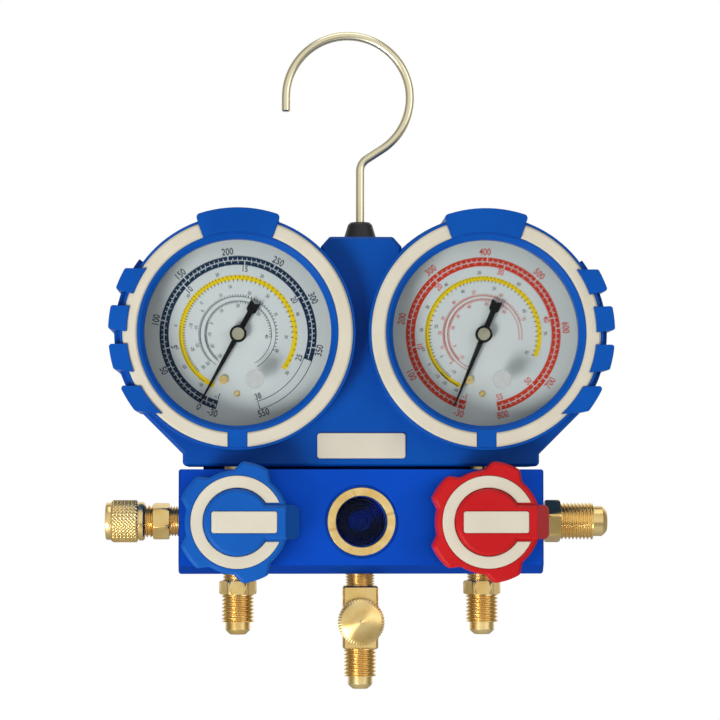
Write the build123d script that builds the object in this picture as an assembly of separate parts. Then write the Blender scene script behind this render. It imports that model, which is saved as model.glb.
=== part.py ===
from build123d import *
import math
import os

# Two-gauge refrigerant manifold, millimetres. X runs to the user's right, Z up, and the dials face -Y.
# The origin is the point where the hook bears, straight above the centre of mass. Every "front" value
# is a distance towards the user from the middle plane Y = 0, where the hose ports and stems lie.

# Fits
thread_clearance = 0.05   # radial, a male thread in its plain female bore
running_clearance = 0.08  # radial, a shaft or piston that turns or slides
seat_clearance = 0.15     # radial, a part dropped into its pocket
rest_gap = 0.3            # between faces of moving parts that never rub

# Levels
hook_height = 63.1        # from the bearing point down to the top of the collar
saddle_rise = 33.2        # casing's flat top above the gauge axes
casing_drop = 45.2        # casing's lower edge below the gauge axes
casing_gap = 1.0          # air between the casing and the block

# Hook and collar
wire_diameter = 3.0
loop_inner_radius = 20.0
loop_offset = 4.2         # centre of the loop left of the shank
loop_end_angle = 57.0     # where the loop leaves its circle, below the horizontal
neck_bend_radius = 5.0    # centre line
hook_tip_length = 5.0
wire_end_chamfer = 0.5
collar_height = 6.0
collar_base_radius = 5.8
collar_top_radius = 4.2
collar_chamfer = 0.8
retainer_radius = 3.6
retainer_thickness = 1.6
wire_tail = 1.0           # wire left below the retainer

# Manifold block
block_width = 124.0
block_height = 35.5
block_depth = 30.0
block_bevel = 3.0         # along the lower front edge
block_edge_break = 0.6
gallery_diameter = 4.0    # drilling that joins the valve seats to the middle port
gallery_front = -7.0
gallery_overrun = 1.0     # length of each drilling past the one it meets
seat_bore = 3.0
service_drilling = 4.8
port_bore_end = 6.0       # distance from the valve axis where the port bores stop
port_spacing = 84.0       # gauges, valves and hose ports on one pair of centres

# Casing
casing_wall = 2.4
casing_base_front = 13.5
casing_back = 20.0
casing_disc_radius = 40.6
casing_corner_radius = 1.6
saddle_half_width = 10.8
saddle_shoulder_drop = 3.4
saddle_shoulder_half_width = 13.8
skirt_half_width = 60.7
skirt_diagonal_offset = 42.2  # distance of the 45-degree edge from the gauge axis
skirt_diagonal_reach = 6.0    # length of that edge above the foot of the perpendicular
casing_edge_break = 0.9   # front edges of the base
foot_half_width = 54.0     # rear cover's foot over the block
foot_front = 2.0
foot_depth = 9.0
lug_back_step = 2.0       # rear cover's flat back stands behind its lugs
seat_rib_radius = 30.0    # rib in the rear cover that the gauge case rests on

# Gauge ring of the casing
window_radius = 31.6
bezel_radius = 33.9
ring_radius = 39.8
ring_front = 22.4
bezel_chamfer = 1.4
rim_width = 0.9           # coloured edge outside the inlay
rim_step = 0.5
inlay_clearance = 0.05    # round every cream inlay
ring_groove_depth = 1.5
inlay_proud = 0.4
inlay_edge_chamfer = 0.6
bridge_width = 6.6
top_tab_half_angle = 20.0
top_tab_radius = 42.1
top_tab_corner = 1.4
lug_outer_radius = 43.6
lug_inner_radius = 37.4
lug_front = 23.4
lug_corner = 1.0
# Each lug's start and end at its inner end, then at its outer end, degrees.
lug_ranges = (
    (145.2, 159.8, 150.6, 161.0), (166.6, 179.7, 168.1, 178.9),
    (186.3, 201.1, 185.4, 196.9), (209.3, 227.4, 204.5, 217.7),
)
grip_band_radius = 42.1    # recessed band that joins the lugs
grip_band_range = (143.0, 227.0)

# Name plate, blank
name_plate_width = 30.0
name_plate_height = 8.6
name_plate_drop = 38.2    # below the gauge axes
name_plate_thickness = 1.4
name_plate_proud = 0.5
name_plate_corner = 1.0

# Cover screws, driven from the back
screw_diameter = 3.0
screw_head_diameter = 5.6
screw_head_height = 2.4
screw_length = 22.0
screw_boss_diameter = 7.6
screw_sites = ((0.0, 19.0), (0.0, -28.0), (-55.5, -38.5), (55.5, -38.5))
screw_pilot_depth = 9.0
screw_floor = 3.0         # rear cover left under the screw heads

# Gauge case, lens and dial
case_radius = 34.0
case_wall = 0.8
case_back = 13.0
case_front = 15.4
lens_thickness = 2.0
dial_clearance = 0.6       # radial, inside the case
dial_thickness = 0.5
dial_bore_radius = 1.6

# Gauge stem and socket
stem_radius = 5.15        # 1/8 in taper thread at its major diameter
stem_depth = 8.0          # length screwed into the block
stem_bore_diameter = 3.0
socket_half_width = 6.0
socket_top = 25.0         # below the gauge axis
socket_bottom = 31.5

# Bourdon tube
tube_radius = 27.0
tube_width = 2.6
tube_front = 3.0          # half its depth
tube_tip_angle = -10.0
tube_seat_depth = 1.2     # length inside the socket

# Movement
gear_module = 0.3
pressure_angle = 20.0
pinion_teeth = 12
sector_full_teeth = 96    # teeth of the whole circle that the sector belongs to
sector_first_tooth = -2
sector_last_tooth = 13
profile_shift = 0.3       # plus on the pinion, minus on the sector
tooth_backlash = 0.06
addendum_factor = 1.0
dedendum_factor = 1.25
sector_back = 1.0
sector_thickness = 1.6
sector_hub_radius = 2.2
sector_rim_width = 1.6
sector_spoke_width = 1.8
pinion_overhang = 0.4     # pinion wider than the sector, each side
arbor_radius = 0.8
pivot_radius = 0.5
tail_arm = 6.5
tail_angle = -65.0
tail_pin_radius = 0.6
tail_eye_radius = 1.4
link_thickness = 0.6
link_width = 1.5
link_eye_radius = 1.2
plate_thickness = 1.0
back_plate_front = -3.0
movement_height = 10.5    # between the plates
plate_half_width = 7.2
plate_top = 5.6           # above the gauge axis
plate_bottom = 23.8       # below it, front plate
column_radius = 1.2
column_sites = ((0.0, 4.0), (-5.6, -21.6))

# Pointer
pointer_length = 26.7
pointer_tail = 12.6
pointer_width = 1.9
pointer_tip_width = 0.5
pointer_spade_width = 3.6
pointer_spade_length = 4.4
pointer_hub_radius = 2.9
pointer_hub_height = 1.6
pointer_cap_radius = 2.1
pointer_cap_height = 0.5
pointer_thickness = 0.6
pointer_lift = 1.4        # above the dial
low_zero_angle = 241.2
high_zero_angle = 247.6

# Zero screw and relief plug
zero_screw_radius = 1.5
zero_screw_distance = 16.4
zero_screw_angle = 252.3
zero_screw_height = 0.8
zero_slot_width = 0.5
zero_slot_depth = 0.4
zero_shank_radius = 0.8
plug_distance = 16.6
plug_angle = 290.0
plug_radius = 2.6
plug_head_radius = 3.2
plug_head_height = 1.0
plug_tail_height = 0.6

# Hand valves
bonnet_thread_radius = 7.0
bonnet_depth = 8.0        # screwed into the block
bonnet_flats = 16.0
bonnet_hex_height = 3.4
valve_stem_radius = 3.6
valve_seat_front = -2.0   # bottom of the valve chamber
piston_height = 3.2
piston_nose_radius = 3.4
piston_nose_height = 1.2
knob_back = 20.2
knob_face = 31.0
knob_lobe_radius = 20.4
knob_valley_radius = 17.5
knob_lobe_count = 5
knob_lobe_root_half_angle = 22.0
knob_lobe_top_half_angle = 13.0
knob_lobe_blend = 1.6
knob_edge_break = 0.8
knob_wall = 2.2
knob_hub_radius = 6.5
knob_grip = 8.0           # length of the stem inside the hub
knob_ring_outer = 15.5
knob_ring_inner = 11.5
knob_ring_gap = 13.0      # opening of the ring at the pointer bar
knob_groove_depth = 1.2
knob_inlay_proud = 0.25
knob_key_radius = 11.2
knob_key_rise = 1.6
knob_key_edge = 0.9
knob_bar_width = 11.4
knob_bar_flat = 16.1
knob_bar_tip = 20.7
knob_bar_corner = 2.0
knob_plate_width = 21.8
knob_plate_height = 7.2
knob_plate_left = 8.5
knob_plate_corner = 0.8
knob_plate_pocket = 0.8
knob_bar_slope = 7.0      # height of the bar's sloping nose
knob_cavity_radius = 15.2
knob_roof = 3.0
washer_thickness = 1.0

# Flare ports: outer thread, its length, nose, bore
quarter_flare = {"thread": 11.11, "length": 9.4, "nose": 8.6, "nose_length": 4.35, "bore": 4.8}
large_flare = {"thread": 12.7, "length": 11.2, "nose": 10.4, "nose_length": 5.0, "bore": 5.2}
nose_cone = 1.7
port_tail_radius = 5.15
port_tail_depth = 7.0
port_neck = 1.7
side_neck = 3.5
port_hex_flats = 11.1
port_hex_height = 5.6
hose_neck = 2.7
hose_hex_height = 4.6
large_hex_flats = 13.0
large_hex_height = 5.3
hex_chamfer = 0.5
side_port_turn = 12.0     # clocking of the side ports' hexagons
cap_thread_shown = 2.8    # thread left bare between hexagon and cap

# Port cap
cap_ring_radius = 6.4
cap_ring_length = 2.0
cap_crown_radius = 7.35
cap_crown_length = 9.1
cap_collar_radius = 6.65
cap_collar_length = 2.0
cap_groove_radius = 6.2
cap_groove_length = 0.4
cap_edge_chamfer = 0.6
cap_seal_thickness = 1.0

# Service valve
service_neck_radius = 5.0
service_neck = 4.4
service_width = 12.1
service_height = 21.5
service_knob_drop = 16.4  # knob axis below the block
service_knob_radius = 8.0
service_knob_face_radius = 6.8
service_knob_height = 4.6
service_knob_bevel = 0.8
service_knob_gap = 3.2
service_stem_radius = 2.4
service_pin_radius = 1.9
service_pin_length = 3.6

# Sight glass
sight_recess_radius = 12.4
sight_recess_depth = 1.2
sight_ring_radius = 11.5
sight_ring_bore = 8.8
sight_ring_depth = 3.4
sight_ring_proud = 0.5
sight_slot_width = 0.8
sight_slot_depth = 1.6
sight_slot_turn = 15.0
sight_glass_thickness = 4.0
sight_seal_thickness = 1.0
sight_chamber_radius = 8.4
sight_chamber_depth = 5.0
sight_well_radius = 3.0

# Places that follow
half_spacing = port_spacing / 2
wire_radius = wire_diameter / 2
loop_center_z = -math.sqrt(loop_inner_radius ** 2 - loop_offset ** 2)
saddle_z = -(hook_height + collar_height)
gauge_z = saddle_z - saddle_rise
casing_bottom_z = gauge_z - casing_drop
block_top_z = casing_bottom_z - casing_gap
block_z = block_top_z - block_height / 2
block_bottom_z = block_top_z - block_height
block_front = block_depth / 2
gear_distance = gear_module * (pinion_teeth + sector_full_teeth) / 2
dial_radius = case_radius - case_wall - dial_clearance
lens_back = case_front
lens_front = lens_back + lens_thickness
sector_front = sector_back + sector_thickness
link_back = tube_front + rest_gap
front_plate_back = back_plate_front + movement_height
dial_back = front_plate_back + plate_thickness
dial_front = dial_back + dial_thickness
pointer_back = dial_front + pointer_lift
case_bore = case_radius + seat_clearance
retainer_top_z = saddle_z - casing_wall - rest_gap
head_seat = screw_floor - casing_back + screw_head_height
piston_front = valve_seat_front + piston_height
sight_glass_front = block_front + sight_ring_proud - sight_ring_depth
sight_floor = sight_glass_front - sight_glass_thickness - sight_seal_thickness
service_pin_back = -quarter_flare["bore"] / 2
cap_start = side_neck + port_hex_height + cap_thread_shown
cap_floor = side_neck + port_hex_height + quarter_flare["length"] + quarter_flare["nose_length"] + cap_seal_thickness


def facing(x=0.0, z=0.0, front=0.0):
    # Local X runs right, local Y up and local Z towards the user.
    return Plane(origin=(x, -front, z), x_dir=(1, 0, 0), z_dir=(0, -1, 0)).location


def hanging(x, z):
    # Local Z runs down and local Y towards the user.
    return Plane(origin=(x, 0, z), x_dir=(1, 0, 0), z_dir=(0, 0, -1)).location


def sideways(x, z, side):
    # Local Z runs outwards along X and local X up.
    return Plane(origin=(x, 0, z), x_dir=(0, 0, 1), z_dir=(side, 0, 0)).location


def polar(radius, degrees):
    return (radius * math.cos(math.radians(degrees)), radius * math.sin(math.radians(degrees)))


def turned(*profile):
    # A solid of revolution about local Z, from (radius, height) points.
    return revolve(Plane.XZ * make_face(Polyline(*profile, close=True)), Axis.Z)


def rod(radius, low, high):
    return Pos(0, 0, low) * extrude(Circle(radius), high - low)


def tube(outer, inner, low, high):
    return Pos(0, 0, low) * extrude(Circle(outer) - Circle(inner), high - low)


def leaning_patch(inner, outer, inner_start, inner_end, outer_start, outer_end):
    # A patch between two arcs in the local XY plane, degrees counterclockwise at its inner and outer ends.
    inner_middle = (inner_start + inner_end) / 2
    outer_middle = (outer_start + outer_end) / 2
    edge = (
        Line(polar(inner, inner_start), polar(outer, outer_start))
        + ThreePointArc(polar(outer, outer_start), polar(outer, outer_middle), polar(outer, outer_end))
        + Line(polar(outer, outer_end), polar(inner, inner_end))
        + ThreePointArc(polar(inner, inner_end), polar(inner, inner_middle), polar(inner, inner_start))
    )
    return make_face(edge)


def sector_patch(inner, outer, start, end):
    return leaning_patch(inner, outer, start, end, start, end)


def outer_corners(face, count):
    return face.vertices().sort_by(lambda vertex: math.hypot(vertex.X, vertex.Y))[-count:]


def hexagon(flats, low, high):
    return Pos(0, 0, low) * extrude(RegularPolygon(flats / 2, 6, major_radius=False), high - low)


def flare_port(flare, neck, hex_flats, hex_height, turn=0.0):
    # Male flare fitting; local Z = 0 is the face that it is screwed into.
    thread_start = neck + hex_height
    thread_end = thread_start + flare["length"]
    nose_end = thread_end + flare["nose_length"]
    bore = flare["bore"] / 2
    nose = flare["nose"] / 2
    body = turned(
        (bore, -port_tail_depth), (port_tail_radius, -port_tail_depth), (port_tail_radius, thread_start),
        (flare["thread"] / 2, thread_start), (flare["thread"] / 2, thread_end), (nose, thread_end),
        (nose, nose_end - nose_cone), (nose - nose_cone, nose_end), (bore, nose_end),
    )
    grip = Rot(0, 0, turn) * hexagon(hex_flats, neck, thread_start)
    return body + (grip - rod(bore, neck, thread_start))


def bent_wire_path():
    # Short straight tip, loop, slanting run, neck bend and shank, in the plane Y = 0.
    center_radius = loop_inner_radius + wire_radius
    turn = math.radians(loop_end_angle)
    tip_x = -loop_offset - center_radius
    leave = (-loop_offset + center_radius * math.cos(turn), loop_center_z - center_radius * math.sin(turn))
    heading = (-math.sin(turn), -math.cos(turn))
    bend_run = neck_bend_radius * (1 - math.cos(turn))
    bend_drop = neck_bend_radius * math.sin(turn)
    slant = (leave[0] - bend_run) / math.sin(turn)
    bend_start = (leave[0] + heading[0] * slant, leave[1] + heading[1] * slant)
    bend_end = (0.0, bend_start[1] - bend_drop)
    halfway = math.radians(180 - loop_end_angle / 2)
    bend_middle = (
        neck_bend_radius + neck_bend_radius * math.cos(halfway),
        bend_end[1] + neck_bend_radius * math.sin(halfway),
    )
    return (
        Line((tip_x, loop_center_z - hook_tip_length), (tip_x, loop_center_z))
        + CenterArc((-loop_offset, loop_center_z), center_radius, 180, -(180 + loop_end_angle))
        + Line(leave, bend_start)
        + ThreePointArc(bend_start, bend_middle, bend_end)
        + Line(bend_end, (0, retainer_top_z - retainer_thickness - wire_tail))
    )


def wire_hook():
    path = Plane.XZ * bent_wire_path()
    start = Plane(origin=path @ 0, z_dir=path % 0)
    wire = sweep(start * Circle(wire_radius), path=path)
    return chamfer(wire.faces().filter_by(Axis.Z).edges(), wire_end_chamfer)


def hook_retainer():
    return Pos(0, 0, retainer_top_z) * tube(retainer_radius, wire_radius, -retainer_thickness, 0)


def hook_collar():
    bore = wire_radius + running_clearance
    return Pos(0, 0, saddle_z) * turned(
        (bore, 0), (collar_base_radius, 0), (collar_top_radius, collar_height - collar_chamfer),
        (collar_top_radius - collar_chamfer, collar_height), (bore, collar_height),
    )


def casing_outline():
    # Two discs, the hook saddle between them and the skirt below, about the gauge axes' level.
    discs = Pos(-half_spacing, 0) * Circle(casing_disc_radius) + Pos(half_spacing, 0) * Circle(casing_disc_radius)
    shoulder_y = saddle_rise - saddle_shoulder_drop
    saddle = make_face(Polyline(
        (-saddle_shoulder_half_width, 0), (-saddle_shoulder_half_width, shoulder_y),
        (-saddle_half_width, saddle_rise), (saddle_half_width, saddle_rise),
        (saddle_shoulder_half_width, shoulder_y), (saddle_shoulder_half_width, 0), close=True,
    ))
    saddle = fillet(saddle.vertices().group_by(Axis.Y)[-1], casing_corner_radius)
    foot = skirt_diagonal_offset / math.sqrt(2)
    reach = skirt_diagonal_reach / math.sqrt(2)
    corner_y = -(2 * foot + half_spacing - skirt_half_width)
    skirt = make_face(Polyline(
        (-half_spacing, 0), (-half_spacing - foot - reach, reach - foot), (-skirt_half_width, corner_y),
        (-skirt_half_width, -casing_drop), (skirt_half_width, -casing_drop), (skirt_half_width, corner_y),
        (half_spacing + foot + reach, reach - foot), (half_spacing, 0), close=True,
    ))
    skirt = fillet(skirt.vertices().group_by(Axis.Y)[0], casing_corner_radius)
    return discs + saddle + skirt


def lug_face(inner_start, inner_end, outer_start, outer_end, clearance):
    # Grip lug of the left gauge; the clearance makes room for it in the inlay.
    face = leaning_patch(lug_inner_radius, lug_outer_radius, inner_start, inner_end, outer_start, outer_end)
    face = fillet(outer_corners(face, 2), lug_corner)
    return offset(face, clearance) if clearance else face


def ring_keepers(side, clearance=0.0):
    # What interrupts the inlay ring: the top tab, the bridge below and the grip lugs.
    spread = math.degrees(clearance / bezel_radius)
    tab = sector_patch(
        bezel_radius - clearance, top_tab_radius,
        90 - top_tab_half_angle - spread, 90 + top_tab_half_angle + spread,
    )
    tab = fillet(outer_corners(tab, 2), top_tab_corner)
    bridge = Pos(0, -(bezel_radius + ring_radius) / 2) * Rectangle(
        bridge_width + 2 * clearance, ring_radius - bezel_radius + 2 * rim_width,
    )
    lugs = [lug_face(*span, clearance) for span in lug_ranges]
    if side > 0:
        lugs = [mirror(lug, about=Plane.YZ) for lug in lugs]
    return tab, bridge, lugs


def gauge_ring(side):
    # Raised ring round one gauge with its groove, top tab, bridge and grip lugs; local origin on the gauge axis.
    low = casing_base_front - casing_wall
    ring = turned(
        (window_radius, lens_front), (ring_radius, lens_front), (ring_radius, ring_front - rim_step),
        (ring_radius - rim_width, ring_front - rim_step), (ring_radius - rim_width, ring_front),
        (window_radius + bezel_chamfer, ring_front), (window_radius, ring_front - bezel_chamfer),
    ) + tube(ring_radius, case_bore, low, lens_front)
    tab, bridge, lugs = ring_keepers(side)
    groove = tube(ring_radius - rim_width, bezel_radius, ring_front - ring_groove_depth, ring_front)
    for keeper in (tab, bridge, *lugs):
        groove -= extrude(keeper, lug_front)
    ring -= groove
    for keeper in (tab, *lugs):
        ring += extrude(keeper, lug_front)
    return ring - rod(case_bore, 0, lens_front)


def grip_band(side, low, high):
    # Low band between and behind the lugs, rooted in the casing's wall.
    band = sector_patch(casing_disc_radius - casing_wall / 2, grip_band_radius, *grip_band_range)
    band = band if side < 0 else mirror(band, about=Plane.YZ)
    return Pos(0, 0, low) * extrude(band, high - low)


def screw_post(site, low, high):
    return Pos(site[0], site[1], 0) * rod(screw_boss_diameter / 2, low, high)


def shank_holes():
    # Bores through the casing's walls for the gauge stems and the hook's shank.
    holes = Part()
    for side in (-1, 1):
        holes += Pos(side * half_spacing, 0, gauge_z) * rod(
            stem_radius + seat_clearance, -casing_drop - casing_gap, -case_radius,
        )
    return holes + Pos(0, 0, saddle_z) * rod(wire_radius + running_clearance, -2 * casing_wall, casing_wall)


def front_cover():
    outline = casing_outline()
    hollow = offset(outline, -casing_wall)
    cover = extrude(outline, casing_base_front)
    cover = chamfer(cover.faces().sort_by(Axis.Z)[-1].edges(), casing_edge_break)
    cover -= extrude(hollow, casing_base_front - casing_wall)
    for site in screw_sites:
        cover += screw_post(site, 0, casing_base_front - casing_wall)
    for side in (-1, 1):
        at_gauge = Pos(side * half_spacing, 0, 0)
        cover += at_gauge * grip_band(side, 0, casing_base_front - casing_edge_break)
        cover -= at_gauge * rod(case_bore, 0, casing_base_front)
        cover += at_gauge * gauge_ring(side)
    plate_seat = Pos(0, -name_plate_drop, casing_base_front + name_plate_proud - name_plate_thickness)
    cover -= plate_seat * extrude(name_plate_face(inlay_clearance), name_plate_thickness)
    for x, y in screw_sites:
        cover -= Pos(x, y, 0) * rod(screw_diameter / 2, 0, screw_pilot_depth)
    return facing(0, gauge_z) * cover - shank_holes()


def rear_cover():
    outline = casing_outline()
    hollow = offset(outline, -casing_wall)
    cover = Pos(0, 0, -casing_back) * extrude(outline, casing_back)
    cover = chamfer(cover.faces().sort_by(Axis.Z)[0].edges(), casing_edge_break)
    cover -= Pos(0, 0, casing_wall - casing_back) * extrude(hollow, casing_back)
    for side in (-1, 1):
        at_gauge = Pos(side * half_spacing, 0, 0)
        cover += at_gauge * tube(seat_rib_radius, seat_rib_radius - casing_wall, casing_wall - casing_back, -case_back)
        for lug in ring_keepers(side)[2]:
            block = Pos(0, 0, lug_back_step - casing_back) * extrude(lug, casing_back - lug_back_step)
            cover += at_gauge * (block - rod(casing_disc_radius - casing_wall, -casing_back, 0))
        tab = ring_keepers(side)[0]
        block = Pos(0, 0, lug_back_step - casing_back) * extrude(tab, casing_back - lug_back_step)
        cover += at_gauge * (block - rod(casing_disc_radius - casing_wall, -casing_back, 0))
        cover += at_gauge * grip_band(side, casing_edge_break - casing_back, 0)
    head_floor = screw_floor - casing_back
    for site in screw_sites:
        cover += screw_post(site, casing_wall - casing_back, 0)
    for x, y in screw_sites:
        cover -= Pos(x, y, 0) * rod(screw_diameter / 2 + seat_clearance, -casing_back, 0)
        cover -= Pos(x, y, 0) * rod(screw_head_diameter / 2 + seat_clearance, -casing_back, head_seat)
    foot = Pos(0, -casing_drop - casing_gap / 2, -foot_front - foot_depth / 2) * Box(
        2 * foot_half_width, casing_gap, foot_depth,
    )
    return facing(0, gauge_z) * (cover + foot) - shank_holes()


def cover_screws():
    head = rod(screw_head_diameter / 2, head_seat - screw_head_height, head_seat)
    screw = head + rod(screw_diameter / 2, head_seat, head_seat + screw_length)
    return [facing(x, gauge_z + y) * screw for x, y in screw_sites]


def name_plate_face(clearance=0.0):
    return RectangleRounded(
        name_plate_width + 2 * clearance, name_plate_height + 2 * clearance, name_plate_corner + clearance,
    )


def name_plate():
    blank = extrude(name_plate_face(), name_plate_thickness)
    return facing(0, gauge_z - name_plate_drop, casing_base_front + name_plate_proud - name_plate_thickness) * blank


def ring_inlay(side):
    inner = bezel_radius + inlay_clearance
    outer = ring_radius - rim_width - inlay_clearance
    low = ring_front - ring_groove_depth
    high = ring_front + inlay_proud
    inlay = turned(
        (inner, low), (outer, low), (outer, high - inlay_edge_chamfer), (outer - inlay_edge_chamfer, high),
        (inner + inlay_edge_chamfer, high), (inner, high - inlay_edge_chamfer),
    )
    tab, bridge, lugs = ring_keepers(side, inlay_clearance)
    for keeper in (tab, bridge, *lugs):
        inlay -= extrude(keeper, high + casing_wall)
    return facing(side * half_spacing, gauge_z) * inlay


def manifold_block():
    half_height = block_height / 2
    profile = make_face(Polyline(
        (block_front, half_height), (-block_front, half_height), (-block_front, -half_height),
        (block_front - block_bevel, -half_height), (block_front, block_bevel - half_height), close=True,
    ))
    bar = Pos(-block_width / 2, 0, block_z) * extrude(
        Plane(origin=(0, 0, 0), x_dir=(0, -1, 0), z_dir=(-1, 0, 0)) * profile, -block_width,
    )
    bar = chamfer(bar.faces().filter_by(Axis.X).edges(), block_edge_break)
    chamber = bonnet_thread_radius + thread_clearance
    tail = port_tail_radius + thread_clearance
    for side in (-1, 1):
        x = side * half_spacing
        bar -= facing(x, block_z) * rod(chamber, valve_seat_front, block_front)
        bar -= facing(x, block_z) * rod(seat_bore / 2, gallery_front, valve_seat_front)
        bar -= hanging(x, block_bottom_z) * rod(tail, port_bore_end - half_height, 0)
        bar -= hanging(x, block_top_z) * rod(stem_radius + thread_clearance, 0, half_height - port_bore_end)
        side_bore = rod(tail, half_spacing + port_bore_end - block_width / 2, 0)
        bar -= sideways(side * block_width / 2, block_z, side) * side_bore
    reach = half_spacing + seat_bore / 2 + gallery_overrun
    bar -= Pos(0, -gallery_front, 0) * sideways(0, block_z, 1) * rod(gallery_diameter / 2, -reach, reach)
    bar -= hanging(0, block_bottom_z) * (
        rod(service_neck_radius + thread_clearance, -port_tail_depth, 0)
        + Pos(0, gallery_front, 0) * rod(service_drilling / 2, -half_height - gallery_overrun, 0)
    )
    thread = sight_ring_radius + thread_clearance
    return bar - facing(0, block_z) * (
        rod(sight_recess_radius, block_front - sight_recess_depth, block_front)
        + rod(thread, sight_floor, block_front)
        + rod(sight_chamber_radius, sight_floor - sight_chamber_depth, sight_floor)
        + rod(sight_well_radius, gallery_front - gallery_overrun, sight_floor)
    )


def sight_glass_ring():
    back = block_front + sight_ring_proud - sight_ring_depth
    front = block_front + sight_ring_proud
    ring = tube(sight_ring_radius, sight_ring_bore, back, front)
    for quarter in range(4):
        slot = Pos(sight_ring_radius, 0, front) * Box(2 * sight_ring_radius, sight_slot_width, 2 * sight_slot_depth)
        reach = Pos(sight_ring_bore, 0, 0) * slot
        ring -= Rot(0, 0, 90 * quarter + sight_slot_turn) * reach
    return facing(0, block_z) * ring


def sight_glass():
    radius = sight_ring_radius - seat_clearance
    return facing(0, block_z) * rod(radius, sight_floor + sight_seal_thickness, sight_glass_front)


def sight_glass_seal():
    radius = sight_ring_radius - seat_clearance
    return facing(0, block_z) * tube(radius, sight_ring_bore, sight_floor, sight_floor + sight_seal_thickness)


def service_valve_body():
    knob_level = service_knob_drop
    bottom = service_neck + service_height
    flare = quarter_flare
    thread_end = bottom + flare["length"]
    nose = flare["nose"] / 2
    nose_end = thread_end + flare["nose_length"]
    shank = turned(
        (0, -port_tail_depth), (service_neck_radius, -port_tail_depth), (service_neck_radius, service_neck),
        (flare["thread"] / 2, service_neck), (flare["thread"] / 2, thread_end), (nose, thread_end),
        (nose, nose_end - nose_cone), (nose - nose_cone, nose_end), (0, nose_end),
    )
    square = Pos(0, 0, service_neck) * extrude(Rectangle(service_width, service_width), service_height)
    square = chamfer(square.edges().filter_by(Axis.Z), hex_chamfer)
    body = hanging(0, block_bottom_z) * (shank + square - rod(flare["bore"] / 2, -port_tail_depth, nose_end))
    return body - facing(0, block_bottom_z - knob_level) * rod(
        service_stem_radius + running_clearance, service_pin_back, service_width,
    )


def service_valve_pin():
    at_knob = facing(0, block_bottom_z - service_knob_drop)
    return at_knob * rod(service_pin_radius, service_pin_back, service_pin_back + service_pin_length)


def service_valve_knob():
    # Turned thumb knob with a bevelled face, on its own stem.
    back = service_width / 2 + service_knob_gap
    front = back + service_knob_height
    return facing(0, block_bottom_z - service_knob_drop) * turned(
        (0, service_pin_back + service_pin_length), (service_stem_radius, service_pin_back + service_pin_length),
        (service_stem_radius, back), (service_knob_face_radius, back), (service_knob_radius, back + service_knob_bevel),
        (service_knob_radius, front - service_knob_bevel), (service_knob_face_radius, front), (0, front),
    )


def hose_port(side):
    return hanging(side * half_spacing, block_bottom_z) * flare_port(
        quarter_flare, hose_neck, port_hex_flats, hose_hex_height,
    )


def low_side_port():
    fitting = flare_port(quarter_flare, side_neck, port_hex_flats, port_hex_height, side_port_turn)
    return sideways(-block_width / 2, block_z, -1) * fitting


def high_side_port():
    fitting = flare_port(large_flare, port_neck, large_hex_flats, large_hex_height, side_port_turn)
    return sideways(block_width / 2, block_z, 1) * fitting


def port_cap():
    # Knurled brass cap; its bore clears the thread it runs on and ends at the seal.
    start = cap_start
    groove = start + cap_collar_length
    crown = groove + cap_groove_length
    ring = crown + cap_crown_length
    end = ring + cap_ring_length
    bore = quarter_flare["thread"] / 2 + thread_clearance
    shell = turned(
        (bore, start), (cap_collar_radius - cap_edge_chamfer, start), (cap_collar_radius, start + cap_edge_chamfer),
        (cap_collar_radius, groove), (cap_groove_radius, groove), (cap_groove_radius, crown),
        (cap_crown_radius - cap_edge_chamfer, crown), (cap_crown_radius, crown + cap_edge_chamfer),
        (cap_crown_radius, ring - cap_edge_chamfer), (cap_crown_radius - cap_edge_chamfer, ring),
        (cap_ring_radius, ring), (cap_ring_radius, end - cap_edge_chamfer),
        (cap_ring_radius - cap_edge_chamfer, end), (0, end), (0, cap_floor), (bore, cap_floor),
    )
    return sideways(-block_width / 2, block_z, -1) * shell


def cap_seal():
    radius = quarter_flare["thread"] / 2 - seat_clearance
    return sideways(-block_width / 2, block_z, -1) * rod(radius, cap_floor - cap_seal_thickness, cap_floor)


def valve_bonnets():
    bore = valve_stem_radius + running_clearance
    back = block_front - bonnet_depth
    bonnet = tube(bonnet_thread_radius, bore, back, block_front)
    grip = hexagon(bonnet_flats, block_front, block_front + bonnet_hex_height)
    bonnet += grip - rod(bore, block_front, block_front + bonnet_hex_height)
    return [facing(side * half_spacing, block_z) * bonnet for side in (-1, 1)]


def stem_seals():
    front = block_front - bonnet_depth
    washer = tube(
        bonnet_thread_radius - seat_clearance, valve_stem_radius + running_clearance,
        front - washer_thickness, front,
    )
    return [facing(side * half_spacing, block_z) * washer for side in (-1, 1)]


def valve_piston(side):
    # Floating piston: it slides with the stem but doesn't turn with it.
    radius = bonnet_thread_radius + thread_clearance - running_clearance
    low = valve_seat_front
    return facing(side * half_spacing, block_z) * turned(
        (0, low), (piston_nose_radius, low), (radius, low + piston_nose_height),
        (radius, piston_front), (0, piston_front),
    )


def valve_stem(side):
    return facing(side * half_spacing, block_z) * rod(valve_stem_radius, piston_front, knob_back + knob_grip)


def knob_outline():
    rim = Circle(knob_valley_radius)
    for lobe in range(1, knob_lobe_count):
        middle = 360 / knob_lobe_count * lobe
        rim += leaning_patch(
            knob_valley_radius, knob_lobe_radius,
            middle - knob_lobe_root_half_angle, middle + knob_lobe_root_half_angle,
            middle - knob_lobe_top_half_angle, middle + knob_lobe_top_half_angle,
        )
    return fillet(rim.vertices(), knob_lobe_blend)


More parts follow.
